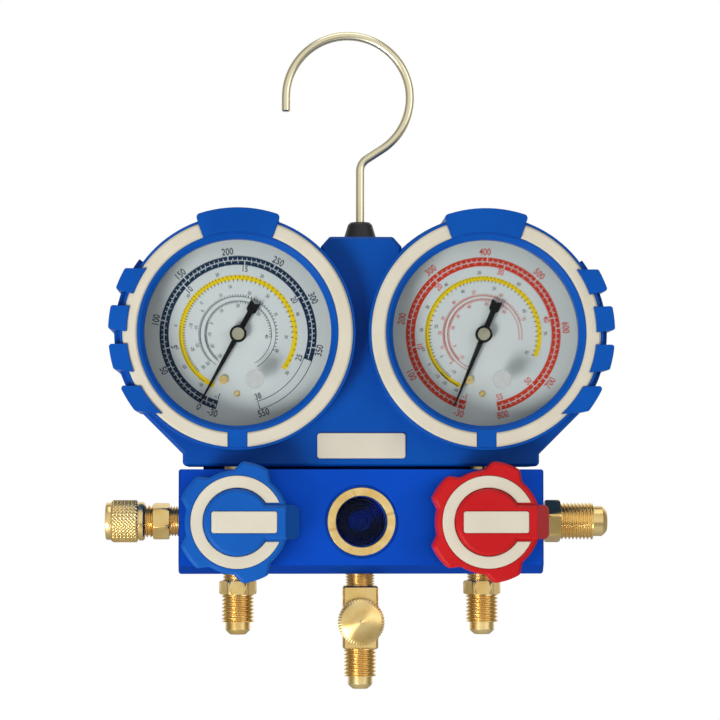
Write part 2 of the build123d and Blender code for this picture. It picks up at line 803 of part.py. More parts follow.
def knob_key():
    # Round boss and pointer bar that stand above the knob's face, with a sloping nose.
    top = knob_face + knob_key_rise
    bar = Pos(knob_bar_tip / 2, 0) * Rectangle(knob_bar_tip, knob_bar_width)
    bar = fillet(bar.vertices().group_by(Axis.X)[-1], knob_bar_corner)
    key = Circle(knob_key_radius) + bar
    raised = Pos(0, 0, knob_face) * extrude(key, knob_key_rise)
    raised = chamfer(raised.faces().sort_by(Axis.Z)[-1].edges(), knob_key_edge)
    end = Pos(knob_bar_tip - knob_bar_width / 2, 0) * Rectangle(knob_bar_width, knob_bar_width)
    end = fillet(end.vertices().group_by(Axis.X)[-1], knob_bar_corner)
    nose = Pos(0, 0, knob_back) * extrude(end, knob_face - knob_back)
    slope = Plane.XZ * make_face(Polyline(
        (knob_bar_flat, top), (knob_bar_tip, top - knob_bar_slope), (knob_bar_tip + knob_wall, top - knob_bar_slope),
        (knob_bar_tip + knob_wall, top + knob_wall), (knob_bar_flat, top + knob_wall), close=True,
    ))
    return raised + nose - extrude(slope, knob_bar_width, both=True)


def knob_ring_face(clearance=0.0):
    opening = Pos(knob_ring_outer / 2, 0) * Rectangle(knob_ring_outer, knob_ring_gap - 2 * clearance)
    return Circle(knob_ring_outer + clearance) - Circle(knob_ring_inner - clearance) - opening


def knob_plate_face(clearance=0.0):
    middle = knob_plate_width / 2 - knob_plate_left
    return Pos(middle, 0) * RectangleRounded(
        knob_plate_width + 2 * clearance, knob_plate_height + 2 * clearance, knob_plate_corner + clearance,
    )


def hand_knob(side):
    top = knob_face + knob_key_rise
    knob = Pos(0, 0, knob_back) * extrude(knob_outline(), knob_face - knob_back)
    knob = chamfer(knob.faces().sort_by(Axis.Z)[-1].edges(), knob_edge_break)
    knob += knob_key()
    knob -= tube(knob_cavity_radius, knob_hub_radius, knob_back, knob_face - knob_roof)
    knob -= rod(valve_stem_radius, knob_back, knob_back + knob_grip)
    knob -= Pos(0, 0, knob_face - knob_groove_depth) * extrude(knob_ring_face(inlay_clearance), knob_groove_depth)
    knob -= Pos(0, 0, top - knob_plate_pocket) * extrude(knob_plate_face(inlay_clearance), knob_plate_pocket)
    return facing(side * half_spacing, block_z) * knob


def knob_inlays(side):
    top = knob_face + knob_key_rise
    ring = Pos(0, 0, knob_face - knob_groove_depth) * extrude(
        knob_ring_face(), knob_groove_depth + knob_inlay_proud,
    )
    plate = Pos(0, 0, top - knob_plate_pocket) * extrude(knob_plate_face(), knob_plate_pocket + knob_inlay_proud)
    at_knob = facing(side * half_spacing, block_z)
    return [at_knob * ring, at_knob * plate]


def gauge_case():
    cup = turned(
        (0, -case_back), (case_radius, -case_back), (case_radius, case_front), (case_radius - case_wall, case_front),
        (case_radius - case_wall, case_wall - case_back), (0, case_wall - case_back),
    )
    stem_hole = Rot(90, 0, 0) * rod(stem_radius + seat_clearance, case_radius - 3 * case_wall, case_radius + case_wall)
    return cup - stem_hole


def gauge_socket():
    # Brass block that carries tube and movement, with the stem screwed into the manifold.
    block = Pos(0, -(socket_top + socket_bottom) / 2, 0) * Box(
        2 * socket_half_width, socket_bottom - socket_top, -2 * back_plate_front,
    )
    stem = Rot(90, 0, 0) * rod(stem_radius, socket_bottom, casing_drop + casing_gap + stem_depth)
    bore = Rot(90, 0, 0) * rod(stem_bore_diameter / 2, socket_bottom, casing_drop + casing_gap + stem_depth)
    seat = bourdon_tube(seat_clearance / 3)
    return block + stem - bore - seat


def bourdon_tube(clearance=0.0):
    half = tube_width / 2 + clearance
    section = Plane.XZ * Pos(tube_radius, 0) * Rectangle(2 * half, 2 * (tube_front + clearance))
    entry = 270 - math.degrees(math.asin((socket_half_width - tube_seat_depth) / tube_radius))
    arc = revolve(section, Axis.Z, revolution_arc=entry - tube_tip_angle)
    return Rot(0, 0, tube_tip_angle) * arc


def movement_plates():
    # Two plates on columns, with bearing holes for arbor and sector; the back one is fixed to the socket.
    front = Pos(0, (plate_top - plate_bottom) / 2, front_plate_back) * extrude(
        Rectangle(2 * plate_half_width, plate_top + plate_bottom), plate_thickness,
    )
    back = Pos(0, (plate_top - socket_bottom) / 2, back_plate_front - plate_thickness) * extrude(
        Rectangle(2 * plate_half_width, plate_top + socket_bottom), plate_thickness,
    )
    frame = front + back
    for x, y in column_sites:
        frame += Pos(x, y, 0) * rod(column_radius, back_plate_front, front_plate_back)
    journal = pivot_radius + running_clearance / 2
    frame -= rod(arbor_radius + running_clearance, front_plate_back, dial_back)
    frame -= rod(journal, back_plate_front - plate_thickness, back_plate_front)
    frame -= Pos(0, -gear_distance, 0) * rod(journal, back_plate_front - plate_thickness, dial_back)
    shank = rod(zero_shank_radius + running_clearance, front_plate_back, dial_back)
    return frame - Pos(*polar(zero_screw_distance, zero_screw_angle), 0) * shank


def involute_angle(radius, base):
    cosine = min(1.0, base / radius)
    return math.tan(math.acos(cosine)) - math.acos(cosine)


def tooth_face(teeth, shift, middle):
    # One tooth centred on the angle given, its involute flanks drawn as arcs through three points.
    pitch = gear_module * teeth / 2
    alpha = math.radians(pressure_angle)
    base = pitch * math.cos(alpha)
    root = pitch + gear_module * (shift - dedendum_factor)
    tip = pitch + gear_module * (addendum_factor + shift)
    start = max(base, root)
    half_at_pitch = math.pi / (2 * teeth) + 2 * shift * math.tan(alpha) / teeth - tooth_backlash / (2 * pitch)

    def flank(radius, sign):
        half = half_at_pitch + involute_angle(pitch, base) - involute_angle(radius, base)
        return polar(radius, middle + sign * math.degrees(half))

    sunk = root - gear_module
    foot = [polar(sunk, middle + sign * math.degrees(half_at_pitch)) for sign in (-1, 1)]
    halfway = (start + tip) / 2
    edge = (
        Line(foot[0], flank(start, -1))
        + ThreePointArc(flank(start, -1), flank(halfway, -1), flank(tip, -1))
        + Line(flank(tip, -1), flank(tip, 1))
        + ThreePointArc(flank(tip, 1), flank(halfway, 1), flank(start, 1))
        + Line(flank(start, 1), foot[1])
        + Line(foot[1], foot[0])
    )
    return make_face(edge)


def pinion_arbor():
    # Arbor with its pinion below the dial and the nickel cap that holds the pointer.
    root = gear_module * (pinion_teeth / 2 + profile_shift - dedendum_factor)
    gear = Circle(root)
    for tooth in range(pinion_teeth):
        gear += tooth_face(pinion_teeth, profile_shift, 270 + 360 / pinion_teeth * (tooth + 0.5))
    hub_front = pointer_back + pointer_hub_height
    arbor = rod(arbor_radius, back_plate_front + rest_gap, hub_front)
    arbor += rod(pivot_radius, back_plate_front - plate_thickness, back_plate_front + rest_gap)
    arbor += rod(pointer_cap_radius, hub_front, hub_front + pointer_cap_height)
    return arbor + Pos(0, 0, sector_back - pinion_overhang) * extrude(gear, sector_thickness + 2 * pinion_overhang)


def sector_gear():
    # Toothed quadrant with two spokes, its tail and the pin for the link; local origin on the pinion's axis.
    teeth = range(sector_first_tooth, sector_last_tooth + 1)
    step = 360 / sector_full_teeth
    root = gear_module * (sector_full_teeth / 2 - profile_shift - dedendum_factor)
    low = 90 - step * (sector_last_tooth + 0.5)
    high = 90 - step * (sector_first_tooth - 0.5)
    face = sector_patch(root - sector_rim_width, root, low, high)
    for tooth in teeth:
        face += tooth_face(sector_full_teeth, -profile_shift, 90 - step * tooth)
    spoke_shift = math.degrees(sector_spoke_width / 2 / root)
    for angle in (low + spoke_shift, high - spoke_shift):
        face += Rot(0, 0, angle) * Pos((root - sector_rim_width / 2) / 2, 0) * Rectangle(
            root - sector_rim_width / 2, sector_spoke_width,
        )
    face += Rot(0, 0, tail_angle) * Pos(tail_arm / 2, 0) * Rectangle(tail_arm, sector_spoke_width)
    face += Circle(sector_hub_radius) + Pos(*polar(tail_arm, tail_angle)) * Circle(tail_eye_radius)
    gear = Pos(0, 0, sector_back) * extrude(face, sector_thickness)
    gear += rod(arbor_radius, back_plate_front + rest_gap, front_plate_back - rest_gap)
    gear += rod(pivot_radius, back_plate_front - plate_thickness, dial_back)
    gear += Pos(*polar(tail_arm, tail_angle), 0) * rod(tail_pin_radius, sector_front, link_back + link_thickness)
    return Pos(0, -gear_distance, 0) * gear


def link():
    # Flat link from the sector's tail to the tip of the tube, where the real one is pinned.
    tail_x, tail_y = polar(tail_arm, tail_angle)
    start = Vector(tail_x, tail_y - gear_distance)
    end = Vector(*polar(tube_radius, tube_tip_angle))
    middle = (start + end) * 0.5
    run = end - start
    turn = math.degrees(math.atan2(run.Y, run.X))
    face = Pos(middle.X, middle.Y) * Rot(0, 0, turn) * Rectangle(run.length, link_width)
    for point in (start, end):
        face += Pos(point.X, point.Y) * Circle(link_eye_radius)
    face -= Pos(start.X, start.Y) * Circle(tail_pin_radius + running_clearance)
    return Pos(0, 0, link_back) * extrude(face, link_thickness)


def pointer(zero_angle):
    neck = pointer_width / 2
    spade = pointer_spade_width / 2
    spade_root = pointer_spade_length - pointer_tail
    blade = make_face(Polyline(
        (pointer_length, pointer_tip_width / 2), (0, neck), (spade_root, neck),
        (spade_root - spade / 2, spade), (-pointer_tail, spade), (spade / 2 - pointer_tail, 0),
        (-pointer_tail, -spade), (spade_root - spade / 2, -spade), (spade_root, -neck), (0, -neck),
        (pointer_length, -pointer_tip_width / 2), close=True,
    ))
    arm = Pos(0, 0, pointer_back) * extrude(blade, pointer_thickness)
    hub = rod(pointer_hub_radius, pointer_back, pointer_back + pointer_hub_height)
    bore = rod(arbor_radius, pointer_back, pointer_back + pointer_hub_height)
    return Rot(0, 0, zero_angle) * (arm + hub - bore)


def dial():
    face = Circle(dial_radius) - Circle(dial_bore_radius)
    face -= Pos(*polar(zero_screw_distance, zero_screw_angle)) * Circle(zero_shank_radius + running_clearance)
    return Pos(0, 0, dial_back) * extrude(face, dial_thickness)


def zero_screw():
    screw = rod(zero_screw_radius, dial_front, dial_front + zero_screw_height)
    screw -= Pos(0, 0, dial_front + zero_screw_height) * Box(
        2 * zero_screw_radius, zero_slot_width, 2 * zero_slot_depth,
    )
    screw += rod(zero_shank_radius, front_plate_back, dial_front)
    return Pos(*polar(zero_screw_distance, zero_screw_angle), 0) * screw


def lens():
    disc = rod(case_radius, lens_back, lens_front)
    hole = rod(plug_radius + running_clearance, lens_back, lens_front)
    return disc - Pos(*polar(plug_distance, plug_angle), 0) * hole


def relief_plug():
    # Rubber plug in the lens, with a head in front and a tail behind it.
    return Pos(*polar(plug_distance, plug_angle), 0) * turned(
        (0, lens_back - plug_tail_height), (plug_radius, lens_back - plug_tail_height),
        (plug_radius, lens_front), (plug_head_radius, lens_front), (plug_head_radius, lens_front + plug_head_height),
        (0, lens_front + plug_head_height),
    )


def gauge_pieces(name, side, zero_angle):
    at_gauge = facing(side * half_spacing, gauge_z)
    local = {
        "gauge_case": gauge_case(), "gauge_socket": gauge_socket(), "bourdon_tube": bourdon_tube(),
        "movement_plates": movement_plates(), "pinion_arbor": pinion_arbor(), "sector_gear": sector_gear(),
        "link": link(), "dial": dial(), "pointer": pointer(zero_angle), "zero_screw": zero_screw(),
        "lens": lens(), "relief_plug": relief_plug(),
    }
    return {f"{name}_{part}": at_gauge * solid for part, solid in local.items()}


def valve_pieces(name, side):
    return {
        f"{name}_valve_piston": valve_piston(side), f"{name}_valve_stem": valve_stem(side),
        f"{name}_knob": hand_knob(side), f"{name}_knob_inlays": knob_inlays(side),
    }


def whole_manifold():
    pieces = {
        "wire_hook": wire_hook(), "hook_retainer": hook_retainer(), "hook_collar": hook_collar(),
        "front_cover": front_cover(), "rear_cover": rear_cover(), "cover_screws": cover_screws(),
        "name_plate": name_plate(), "low_ring_inlay": ring_inlay(-1), "high_ring_inlay": ring_inlay(1),
        "manifold_block": manifold_block(), "sight_glass_ring": sight_glass_ring(),
        "sight_glass": sight_glass(), "sight_glass_seal": sight_glass_seal(),
        "low_hose_port": hose_port(-1), "high_hose_port": hose_port(1),
        "low_side_port": low_side_port(), "high_side_port": high_side_port(),
        "port_cap": port_cap(), "cap_seal": cap_seal(), "service_valve_body": service_valve_body(),
        "service_valve_pin": service_valve_pin(), "service_valve_knob": service_valve_knob(),
        "valve_bonnets": valve_bonnets(), "stem_seals": stem_seals(),
    }
    for name, side, zero_angle in (("low", -1, low_zero_angle), ("high", 1, high_zero_angle)):
        pieces.update(valve_pieces(name, side))
        pieces.update(gauge_pieces(name, side, zero_angle))
    return pieces


os.makedirs("parts", exist_ok=True)
for name, piece in whole_manifold().items():
    solids = piece if isinstance(piece, list) else piece.solids()
    export_step(Compound(children=[Solid(solid.wrapped) for solid in solids]), f"parts/{name}.step")
    print(name, len(solids), round(sum(solid.volume for solid in solids), 1))
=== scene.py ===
import math
import bpy
import bmesh
from mathutils import Matrix, Vector


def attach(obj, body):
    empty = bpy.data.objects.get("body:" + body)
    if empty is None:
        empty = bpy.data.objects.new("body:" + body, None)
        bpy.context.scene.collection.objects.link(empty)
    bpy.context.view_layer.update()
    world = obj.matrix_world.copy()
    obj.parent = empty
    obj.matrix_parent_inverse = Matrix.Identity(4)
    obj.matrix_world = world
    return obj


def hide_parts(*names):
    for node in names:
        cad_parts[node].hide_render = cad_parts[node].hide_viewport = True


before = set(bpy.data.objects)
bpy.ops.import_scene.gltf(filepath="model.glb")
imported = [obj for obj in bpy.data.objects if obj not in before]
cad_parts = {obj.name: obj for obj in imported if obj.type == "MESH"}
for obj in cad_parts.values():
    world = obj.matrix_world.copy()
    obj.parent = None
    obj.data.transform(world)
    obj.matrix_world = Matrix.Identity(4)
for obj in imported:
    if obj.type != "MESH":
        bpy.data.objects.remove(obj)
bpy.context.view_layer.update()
print("frame loaded:", len(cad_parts), "nodes")

mm = 0.001
# Heights below the hook's bearing point, and distances from the middle, in millimetres.
levels = {"gauge": -102.3, "block": -166.25, "blockBottom": -184.0}
halfSpacing = 42.0    # middle to each gauge's axis
halfLength = 62.0    # middle to each end of the block
gaugeSides = (("low", -1), ("high", 1))


def facing(x, z, front=0.0):
    # Local X right, Y up, Z towards the user.
    return Matrix(((1, 0, 0, x), (0, 0, -1, -front), (0, 1, 0, z), (0, 0, 0, 1)))


def hanging(x, z):
    # Local Z down, Y towards the user.
    return Matrix(((1, 0, 0, x), (0, -1, 0, 0), (0, 0, -1, z), (0, 0, 0, 1)))


def sideways(x, z, side):
    # Local Z outwards along X, X up.
    return Matrix(((0, 0, side, x), (0, -side, 0, 0), (1, 0, 0, z), (0, 0, 0, 1)))


meetingGap = 0.0002    # points closer than this are one point


def meshPiece(name, points, faces, place, body, material, smoothAngle=None):
    # Points are in millimetres in the local frame that place puts into the row frame.
    mesh = bpy.data.meshes.new(name)
    mesh.from_pydata([tuple((place @ Vector(p)) * mm) for p in points], [], faces)
    mesh.validate()
    shell = bmesh.new()    # points that meet, such as where a thread runs out, become one
    shell.from_mesh(mesh)
    bmesh.ops.remove_doubles(shell, verts=shell.verts, dist=meetingGap * mm)
    shell.to_mesh(mesh)
    shell.free()
    if smoothAngle:
        mesh.shade_smooth()
        mesh.set_sharp_from_angle(angle=math.radians(smoothAngle))
    piece = bpy.data.objects.new(name, mesh)
    bpy.context.scene.collection.objects.link(piece)
    mesh.materials.append(material)
    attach(piece, body)
    return piece


def polar(radius, degrees):
    return radius * math.cos(math.radians(degrees)), radius * math.sin(math.radians(degrees))


def ringSurface(stations, segments, closed=True):
    # Skin over rings. A station is a height, the radius as a function of the angle and, on a thread,
    # how many rows on it meets itself after one turn. Threads give their height as a function too.
    points, faces = [], []
    for station in stations:
        for step in range(segments):
            angle = 2 * math.pi * step / segments
            radius = station[1](angle)
            height = station[0](angle) if callable(station[0]) else station[0]
            points.append((radius * math.cos(angle), radius * math.sin(angle), height))
    meets = []
    for row, station in enumerate(stations):
        meets.append(row + station[2] if len(station) > 2 else row)
    for row in range(len(stations) - 1):
        for step in range(segments - 1):
            low, high = row * segments + step, (row + 1) * segments + step
            faces.append((low, low + 1, high + 1, high))
        low, high = meets[row], meets[row + 1]
        corners = [row * segments + segments - 1, low * segments, high * segments, (row + 2) * segments - 1]
        if low == high:
            corners.pop(2)
        faces.append(tuple(corners))
    if closed:
        faces.append(tuple(reversed(range(segments))))
        faces.append(tuple(range((len(stations) - 1) * segments, len(stations) * segments)))
    return points, faces


def roundAt(radius):
    return lambda angle: radius


def hexAt(flats, turn, cone):
    # Across flats, with the corners turned down to the cone's radius.
    def radiusAt(angle):
        offset = (angle - math.radians(turn) + math.pi / 6) % (math.pi / 3) - math.pi / 6
        return min(flats / 2 / math.cos(math.pi / 6 - abs(offset)), cone)
    return radiusAt


def threadRow(row, last, thread):
    # One line along the helix: its height, its radius and the row that it meets after one turn.
    rows = len(thread["profile"])
    start, end = thread["start"], thread["end"]

    def heightAt(angle):
        return min(end, max(start, start + (row / rows - 1 + angle / (2 * math.pi)) * thread["pitch"]))

    def radiusAt(angle):
        height = heightAt(angle)
        fade = min(1.0, (height - start) / thread["runout"], (end - height) / thread["runout"])
        return thread["radius"] - thread["depth"] * thread["profile"][row % rows] * fade

    return heightAt, radiusAt, min(rows, last - row)


def threadStations(thread):
    rows = len(thread["profile"])
    last = rows * (math.ceil((thread["end"] - thread["start"]) / thread["pitch"]) + 1)
    return [threadRow(row, last, thread) for row in range(last + 1)]


def linear(code):
    # sRGB hex to linear RGBA.
    parts = [int(code[k:k + 2], 16) / 255 for k in (1, 3, 5)]
    return tuple(c / 12.92 if c <= 0.04045 else ((c + 0.055) / 1.055) ** 2.4 for c in parts) + (1.0,)


def addNode(tree, kind, settings=None, **links):
    # Settings name a node property or an input; links name inputs with underscores for spaces, or i0, i1.
    node = tree.nodes.new(kind)
    for key, value in (settings or {}).items():
        if key in node.inputs:
            node.inputs[key].default_value = value
        else:
            setattr(node, key, value)
    for key, source in links.items():
        numbered = key[0] == "i" and key[1:].isdigit()
        tree.links.new(source, node.inputs[int(key[1:]) if numbered else key.replace("_", " ")])
    return node


def newMaterial(name):
    material = bpy.data.materials.new(name)
    material.use_nodes = True
    material.node_tree.nodes.clear()
    return material, material.node_tree


def finish(tree, shader):
    addNode(tree, "ShaderNodeOutputMaterial", None, Surface=shader.outputs[0])


def mapped(tree, scale):
    # Pattern space in units of the real size given for each axis, in millimetres.
    place = addNode(tree, "ShaderNodeTexCoord")
    return addNode(
        tree, "ShaderNodeMapping", {"Scale": tuple(1 / (s * mm) for s in scale)}, Vector=place.outputs["Object"],
    ).outputs[0]


def noise(tree, scale, detail=2.0, rough=0.5):
    return addNode(
        tree, "ShaderNodeTexNoise", {"Scale": 1.0, "Detail": detail, "Roughness": rough},
        Vector=mapped(tree, scale),
    ).outputs["Fac"]


def ranged(tree, value, low, high):
    return addNode(tree, "ShaderNodeMapRange", {"To Min": low, "To Max": high}, Value=value).outputs[0]


toneEnds = (0.3, 0.7)


def tinted(tree, value, dark, light):
    # Between two close tones; the noise seldom leaves the middle of its range, so the ends are cut off.
    ramp = addNode(tree, "ShaderNodeValToRGB", None, Fac=value)
    for stop, position, code in zip(ramp.color_ramp.elements, toneEnds, (dark, light)):
        stop.position, stop.color = position, linear(code)
    return ramp.outputs[0]


def roundedEdges(tree, radius):
    return addNode(tree, "ShaderNodeBevel", {"samples": 4, "Radius": radius * mm}).outputs[0]


def plastic(name, look):
    # Moulded, stamped or painted: a satin skin with a fine grain and slight flow marks.
    # Spark-eroded grain is a few hundredths of a millimetre; it is drawn coarser, as it would not show.
    material, tree = newMaterial(name)
    grain = noise(tree, (look["grain"],) * 3)
    cloud = noise(tree, (look["cloud"],) * 3, 3.0)
    bump = addNode(
        tree, "ShaderNodeBump", {"Strength": look["relief"], "Distance": look["depth"] * mm},
        Height=grain, Normal=roundedEdges(tree, look["edge"]),
    )
    shader = addNode(
        tree, "ShaderNodeBsdfPrincipled", {"IOR": 1.5, "Specular IOR Level": look["gloss"]},
        Base_Color=tinted(tree, cloud, look["dark"], look["light"]),
        Roughness=ranged(tree, cloud, look["smooth"], look["rough"]), Normal=bump.outputs[0],
    )
    finish(tree, shader)
    return material


def metal(name, look):
    # Turned, brushed or drawn: fine tool marks along one axis of the piece and a slightly uneven tone.
    material, tree = newMaterial(name)
    lines = noise(tree, look["lines"], 2.0)
    cloud = noise(tree, (look["cloud"],) * 3, 3.0)
    bump = addNode(
        tree, "ShaderNodeBump", {"Strength": look["relief"], "Distance": look["depth"] * mm},
        Height=lines, Normal=roundedEdges(tree, look["edge"]),
    )
    shader = addNode(
        tree, "ShaderNodeBsdfPrincipled", {
            "Metallic": look.get("metallic", 1.0), "Anisotropic": look.get("grainPull", 0.0),
            "Anisotropic Rotation": look.get("grainTurn", 0.0),
        },
        Base_Color=tinted(tree, cloud, look["dark"], look["light"]),
        Roughness=ranged(tree, lines, look["smooth"], look["rough"]), Normal=bump.outputs[0],
    )
    if look.get("spin"):
        around = addNode(tree, "ShaderNodeTangent", {"direction_type": "RADIAL", "axis": look["spin"]})
        tree.links.new(around.outputs[0], shader.inputs["Tangent"])
    finish(tree, shader)
    return material


def clear(name, look):
    # A thin sheet: most light goes straight through it, the rest bends and mirrors; its shadow is faint.
    material, tree = newMaterial(name)
    wear = noise(tree, (look["wear"],) * 3, 3.0)
    shader = addNode(
        tree, "ShaderNodeBsdfPrincipled",
        {
            "Base Color": linear(look["tint"]), "IOR": look["ior"], "Transmission Weight": 1.0,
            "Specular IOR Level": look["gloss"],
        },
        Roughness=ranged(tree, wear, look["smooth"], look["rough"]),
    )
    passing = addNode(tree, "ShaderNodeBsdfTransparent", {"Color": linear(look["shadow"])})
    rays = addNode(tree, "ShaderNodeLightPath")
    straight = addNode(tree, "ShaderNodeMath", {"operation": "MAXIMUM"}, i0=rays.outputs["Is Shadow Ray"])
    straight.inputs[1].default_value = look["straight"]
    mixed = addNode(
        tree, "ShaderNodeMixShader", None, i0=straight.outputs[0], i1=shader.outputs[0], i2=passing.outputs[0],
    )
    finish(tree, mixed)
    return material


# Casing: ABS, injection-moulded, satin; the eye sees an even saturated blue with soft highlights.
casingAbs = plastic("mouldedBlueAbs", {
    "dark": "#004DA8", "light": "#0256B6", "grain": 0.35, "cloud": 30.0, "relief": 0.12, "depth": 0.05,
    "smooth": 0.36, "rough": 0.44, "gloss": 0.15, "edge": 0.45,
})
# Low-side wheel: the same plastic in a lighter shade.
lowKnobAbs = plastic("mouldedSkyAbs", {
    "dark": "#0654AE", "light": "#0A5EBA", "grain": 0.35, "cloud": 20.0, "relief": 0.12, "depth": 0.05,
    "smooth": 0.34, "rough": 0.42, "gloss": 0.18, "edge": 0.8,
})
# High-side wheel: red plastic, a little glossier.
highKnobAbs = plastic("mouldedRedAbs", {
    "dark": "#C0141A", "light": "#CC1C20", "grain": 0.35, "cloud": 20.0, "relief": 0.12, "depth": 0.05,
    "smooth": 0.3, "rough": 0.38, "gloss": 0.18, "edge": 0.8,
})
# Inlays: soft thermoplastic rubber, moulded over the plastic, matt and slightly yellowed.
inlayRubber = plastic("mouldedCreamElastomer", {
    "dark": "#D9D1BC", "light": "#E0D9C6", "grain": 0.3, "cloud": 12.0, "relief": 0.2, "depth": 0.05,
    "smooth": 0.5, "rough": 0.6, "gloss": 0.2, "edge": 0.5,
})
# Hook's collar: nylon, injection-moulded; near black with a soft highlight.
blackPlastic = plastic("mouldedBlackNylon", {
    "dark": "#101114", "light": "#1A1B1F", "grain": 0.3, "cloud": 8.0, "relief": 0.2, "depth": 0.05,
    "smooth": 0.35, "rough": 0.5, "gloss": 0.5, "edge": 0.4,
})
# Seals: nitrile rubber, moulded; black and dull.
blackRubber = plastic("mouldedNitrileRubber", {
    "dark": "#0C0C0E", "light": "#151517", "grain": 0.2, "cloud": 5.0, "relief": 0.3, "depth": 0.04,
    "smooth": 0.55, "rough": 0.7, "gloss": 0.3, "edge": 0.2,
})
# Stem seals: PTFE, turned; white and waxy.
ptfe = plastic("turnedPtfe", {
    "dark": "#E2E2DC", "light": "#EDEDE8", "grain": 0.3, "cloud": 5.0, "relief": 0.1, "depth": 0.03,
    "smooth": 0.4, "rough": 0.5, "gloss": 0.4, "edge": 0.2,
})
# Pointer, gauge case: steel, stamped, in black stoving enamel; it swallows nearly all light.
blackEnamel = plastic("stampedSteelBlackEnamel", {
    "dark": "#0B0B0C", "light": "#141415", "grain": 0.15, "cloud": 6.0, "relief": 0.1, "depth": 0.02,
    "smooth": 0.4, "rough": 0.5, "gloss": 0.08, "edge": 0.1,
})
# Dial: aluminium sheet, painted in matt white; the eye sees an even, slightly cool white.
dialPaint = plastic("printedDialEnamel", {
    "dark": "#E0E3E1", "light": "#E6E9E7", "grain": 0.15, "cloud": 25.0, "relief": 0.05, "depth": 0.01,
    "smooth": 0.5, "rough": 0.6, "gloss": 0.1, "edge": 0.1,
})
# Block: extruded aluminium, brushed along its length and anodised; long fine streaks catch the light.
# Real brush lines are under 0.1 mm; they are drawn 0.25 mm wide, as they would not show.
anodised = metal("brushedBlueAnodisedAluminium", {
    "dark": "#0044B8", "light": "#004EC8", "lines": (18.0, 0.25, 0.25), "cloud": 25.0, "relief": 0.35,
    "depth": 0.02, "smooth": 0.28, "rough": 0.42, "edge": 0.4, "metallic": 0.85, "grainPull": 0.5,
})
# Brass fittings: turned from bar and left bright; rings across the axis, 0.12 mm apart as a lathe leaves them.
brassUpright = metal("turnedBrassUpright", {
    "dark": "#E3BE72", "light": "#F6DC9C", "lines": (8.0, 8.0, 0.12), "cloud": 9.0, "relief": 0.12, "depth": 0.01,
    "smooth": 0.18, "rough": 0.28, "edge": 0.15,
})
brassAcross = metal("turnedBrassAcross", {
    "dark": "#E3BE72", "light": "#F6DC9C", "lines": (0.12, 8.0, 8.0), "cloud": 9.0, "relief": 0.12, "depth": 0.01,
    "smooth": 0.18, "rough": 0.28, "edge": 0.15,
})
# Brass parts that face the user: turned or stamped; a duller shine than the fittings.
brassFacing = metal("turnedBrassFacing", {
    "dark": "#E3BE72", "light": "#F6DC9C", "lines": (1.5, 0.12, 1.5), "cloud": 5.0, "relief": 0.3, "depth": 0.015,
    "smooth": 0.22, "rough": 0.36, "edge": 0.15,
})
# Thumb knob: faced on a lathe; the fine circles throw the light into fans from the centre.
brassSpun = metal("facedBrassSpun", {
    "dark": "#E3BE72", "light": "#F6DC9C", "lines": (1.5, 0.12, 1.5), "cloud": 5.0, "relief": 0.05, "depth": 0.01,
    "smooth": 0.26, "rough": 0.34, "edge": 0.2, "grainPull": 0.85, "grainTurn": 0.25, "spin": "Y",
})
# Bore under the sight glass: the block's own metal, turned; its colour carries painted shade, far darker than the
# block's blue, for the little light that comes back from so deep.
boreAnodisedPaintedShade = metal("turnedBlueAnodisedBorePaintedShade", {
    "dark": "#000A40", "light": "#001E84", "lines": (3.0, 3.0, 3.0), "cloud": 6.0, "relief": 0.1, "depth": 0.01,
    "smooth": 0.2, "rough": 0.3, "edge": 0.1,
})
# Hook: drawn steel wire, yellow zinc plated; soft warm sheen along the wire.
zincWire = metal("drawnWireYellowZinc", {
    "dark": "#DFD6B2", "light": "#ECE3C3", "lines": (9.0, 9.0, 9.0), "cloud": 25.0, "relief": 0.02, "depth": 0.01,
    "smooth": 0.24, "rough": 0.28, "edge": 0.1,
})
# Screws, arbors, hook's retainer: turned steel, nickel plated; a greyish warm shine.
nickel = metal("nickelPlatedSteel", {
    "dark": "#A9A48C", "light": "#C6C1A8", "lines": (1.5, 0.15, 1.5), "cloud": 4.0, "relief": 0.2, "depth": 0.01,
    "smooth": 0.25, "rough": 0.38, "edge": 0.1,
})
# Lens: polycarbonate disc, clear, with faint haze.
lensPlastic = clear("mouldedClearPolycarbonate", {
    "tint": "#FAFCFC", "shadow": "#F4F6F6", "ior": 1.45, "smooth": 0.0, "rough": 0.01, "wear": 15.0, "gloss": 0.3,
    "straight": 0.86,
})
# Relief plug: milky silicone, so cloudy that it reads as a pale solid disc.
plugSilicone = plastic("mouldedMilkySilicone", {
    "dark": "#B4B8B7", "light": "#BEC2C1", "grain": 0.2, "cloud": 3.0, "relief": 0.1, "depth": 0.02,
    "smooth": 0.4, "rough": 0.5, "gloss": 0.4, "edge": 0.3,
})

nodeLooks = {
    "wire_hook": zincWire, "hook_retainer": nickel, "hook_collar": blackPlastic, "front_cover": casingAbs,
    "rear_cover": casingAbs, "cover_screws": nickel, "name_plate": inlayRubber, "low_ring_inlay": inlayRubber,
    "high_ring_inlay": inlayRubber, "manifold_block": anodised, "sight_glass_ring": brassFacing,
    "sight_glass": lensPlastic, "sight_glass_seal": blackRubber, "cap_seal": blackRubber,
    "service_valve_pin": brassFacing, "valve_bonnets": brassFacing, "stem_seals": ptfe,
    "low_knob": lowKnobAbs, "high_knob": highKnobAbs,
}
for gaugeName, _ in gaugeSides:
    for part, look in (
        ("valve_piston", brassFacing), ("valve_stem", brassFacing), ("knob_inlays", inlayRubber),
        ("gauge_case", blackEnamel), ("gauge_socket", brassUpright), ("bourdon_tube", brassFacing),
        ("movement_plates", brassFacing), ("pinion_arbor", nickel), ("sector_gear", brassFacing),
        ("link", brassFacing), ("dial", dialPaint), ("pointer", blackEnamel), ("zero_screw", brassFacing),
        ("lens", lensPlastic), ("relief_plug", plugSilicone),
    ):
        nodeLooks[f"{gaugeName}_{part}"] = look
